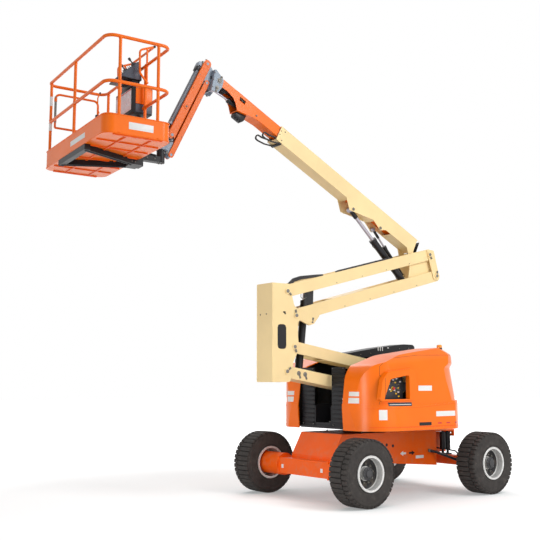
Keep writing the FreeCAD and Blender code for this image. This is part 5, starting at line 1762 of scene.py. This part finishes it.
def console_body():
    """Sloping desk on a neck, over the box that hangs on the mid rail."""
    form = Form(PLATFORM, "slate")
    desk = [DESK_LOW, DESK_HIGH, (-0.402, 1.120), (-0.380, 0.928)]
    form.plate(desk, -0.260, 0.090, 0.010)
    form.colour("black")
    form.block((-0.658, -0.257, 0.9265), (-0.384, 0.087, 0.9365), 0.002)
    form.block((-0.500, -0.240, 0.850), (-0.400, 0.070, 0.942), 0.006)
    form.block((-0.500, -0.250, 0.520), (-0.235, 0.250, 0.855), 0.010)
    # face of the box towards the people: a pale mesh in a dark frame
    form.colour("mesh")
    form.block((-0.5030, -0.225, 0.560), (-0.4985, 0.225, 0.820), 0.001)
    for index in range(23):
        y = -0.209 + index * 0.019
        form.block((-0.5055, y - 0.0022, 0.566), (-0.5025, y + 0.0022, 0.800), 0.0)
    for index in range(12):
        z = 0.575 + index * 0.020
        form.block((-0.5065, -0.218, z - 0.0022), (-0.5035, 0.218, z + 0.0022), 0.0)
    form.colour("red")
    form.block((-0.5075, -0.218, 0.803), (-0.5020, 0.218, 0.811), 0.0005)
    # both ends of the box: orange cover above, grey below
    for side in (-1, 1):
        y = side * 0.2505
        for colour, thick, low, high in (("orange", 0.004, 0.640, 0.848), ("slate", 0.003, 0.536, 0.634)):
            form.colour(colour)
            outer = y + side * thick
            form.block((-0.453, min(y, outer), low), (-0.243, max(y, outer), high), 0.002)
        form.colour("steel")
        for x in (-0.440, -0.256):
            for z in (0.655, 0.833):
                form.nut((x, y + side * 0.004, z), (0, side, 0), 0.012, 0.004)
    form.colour("orange")
    form.block((-0.2345, -0.240, 0.560), (-0.2315, 0.240, 0.845), 0.001)
    form.colour("white")
    form.block((-0.2322, -0.130, 0.640), (-0.2305, 0.130, 0.780), 0.0005)
    form.done("console_body", "platform", ("console",))


def console_controls():
    """Joysticks, switches and stop button, square to the desk's slope."""
    low, high = (Vector((x, 0, z)) for x, z in (DESK_LOW, DESK_HIGH))
    rise = (high - low).normalized()
    face = PLATFORM @ Matrix.Translation(low) @ Matrix((
        (rise.x, 0, -rise.z, 0), (0, 1, 0, 0), (rise.z, 0, rise.x, 0), (0, 0, 0, 1)))
    form = Form(face, "black")
    form.block((0.018, -0.246, -0.001), (0.306, 0.076, 0.004), 0.002)
    form.colour("grey")
    for y in (-0.196, 0.026):
        form.block((0.040, y - 0.036, 0.003), (0.165, y + 0.036, 0.0065), 0.002)
    for y in (-0.205, 0.035):
        form.colour("dark")
        form.turned([(0.034, 0.004), (0.034, 0.010), (0.026, 0.018), (0.019, 0.026), (0.013, 0.030),
                     (0.0, 0.030)],
                    (0.268, y, 0), (0, 0, 1), 28)
        form.colour("hose")
        form.turned([(0.0085, 0.026), (0.0085, 0.062), (0.015, 0.068), (0.0175, 0.090), (0.013, 0.100),
                     (0.0, 0.102)],
                    (0.268, y, 0), (0, 0, 1), 24)
    for index in range(8):
        y = -0.218 + index * 0.038
        form.colour("steel")
        form.turned([(0.0085, 0.003), (0.0085, 0.006), (0.0045, 0.008), (0.0032, 0.022), (0.0045, 0.028),
                     (0.0, 0.030)],
                    (0.200, y, 0), (0, 0, 1), 16)
        form.colour("yellow" if index % 3 == 0 else "white")
        form.block((0.222, y - 0.012, 0.0035), (0.234, y + 0.012, 0.0048), 0.0004)
    form.colour("yellow")
    form.turned([(0.030, 0.003), (0.030, 0.006), (0.019, 0.008), (0.018, 0.013)], (0.110, -0.085, 0),
                (0, 0, 1), 28)
    form.colour("red")
    form.turned([(0.015, 0.011), (0.015, 0.018), (0.024, 0.022), (0.026, 0.029), (0.020, 0.036),
                 (0.0, 0.038)],
                (0.110, -0.085, 0), (0, 0, 1), 28)
    form.done("console_controls", "platform")


def console_hoses():
    """Hoses below the console, their clamp and the foot switch under its guard."""
    form = Form(PLATFORM, "hose")
    for y in (-0.060, -0.030, 0.0, 0.030, 0.060):
        form.tube([(-0.300, y, 0.522), (-0.300, y, 0.430), (-0.318, y * 0.9, 0.240), (-0.312, y * 0.8, 0.060),
                   (-0.270, y * 0.6, 0.110), (-0.180, y * 0.6, 0.120), (-0.080, y * 0.6 - 0.030, 0.100)],
                  0.0065, 0.05, 10, 4)
    form.colour("black")
    form.block((-0.324, -0.075, 0.232), (-0.308, 0.075, 0.256), 0.003)
    form.colour("dark")
    # foot switch on the floor under the desk
    form.plate([(-0.840, 0.012), (-0.840, 0.030), (-0.800, 0.062), (-0.640, 0.074), (-0.620, 0.060),
                (-0.620, 0.012)],
               -0.105, 0.105, 0.004)
    form.colour("black")
    for y in (-0.115, 0.115):
        form.tube([(-0.845, y, 0.014), (-0.845, y, 0.115), (-0.650, y, 0.140), (-0.620, y, 0.030)],
                  0.006, 0.03, 12, 5)
    form.bar((-0.845, -0.115, 0.112), (-0.845, 0.115, 0.112), 0.006, 14)
    form.done("console_hoses", "platform")


def support_fittings():
    """Bolts, gussets and the plate edges of the beams under the platform."""
    form = Form(PLATFORM, "steel")
    bolt_circle(form, (0, 0, 0.0262), (0, 0, -1), 0.036, 6, 0.012, 0.006)
    for side in (-1, 1):
        for x in (-0.100, -0.200):
            form.nut((x, side * 0.045, 0.060), (0, side, 0), 0.018, 0.008)
        for x in (-0.380, -0.425):
            form.nut((x, side * 0.110, -0.032), (0, side, 0), 0.018, 0.008)
    form.colour("black")
    for side in (-1, 1):
        form.plate([(-0.250, 0.030), (-0.330, 0.030), (-0.330, -0.050)], side * 0.047 - 0.004,
                   side * 0.047 + 0.004,
                   0.001)
    for side in (-1, 1):
        start, finish = Vector((-0.420, side * 0.072, -0.064)), Vector((-1.110, side * 0.392, -0.064))
        form.tube([start, finish], 0.010, 0.01, 10)
    for low, high in ((-0.440, -0.418), (0.418, 0.440)):
        form.block((-1.136, low, -0.068), (-1.068, high, 0.0), 0.003)
    form.done("support_fittings", "platform")


# ---------------------------------------------------------------- assembly

camera()
studio()
dress_nodes()
tyres()
rim_fittings()
chassis_fittings()
drive_motors()
steering_fittings()
slew_fittings()
hood_fittings("left", -1)
hood_fittings("right", 1)
control_panel()
beacon()
guard_ribs()
turntable_fittings()
cover_fittings()
tower_pins()
upright_fittings()
tower_arms()
upper_hoses()
drop_hoses()
cylinders()
rod_ends()
boom_fittings()
boom_hose_loop()
fly_fittings()
fly_block()
fly_tip_hoses()
mount_fittings()
jib_fittings()
jib_hose_cover()
jib_link_fittings()
head_fittings()
tub_fittings()
rail_fittings()
grab_loop()
gate_fittings()
guard_hoop()
console_body()
console_controls()
console_hoses()
support_fittings()
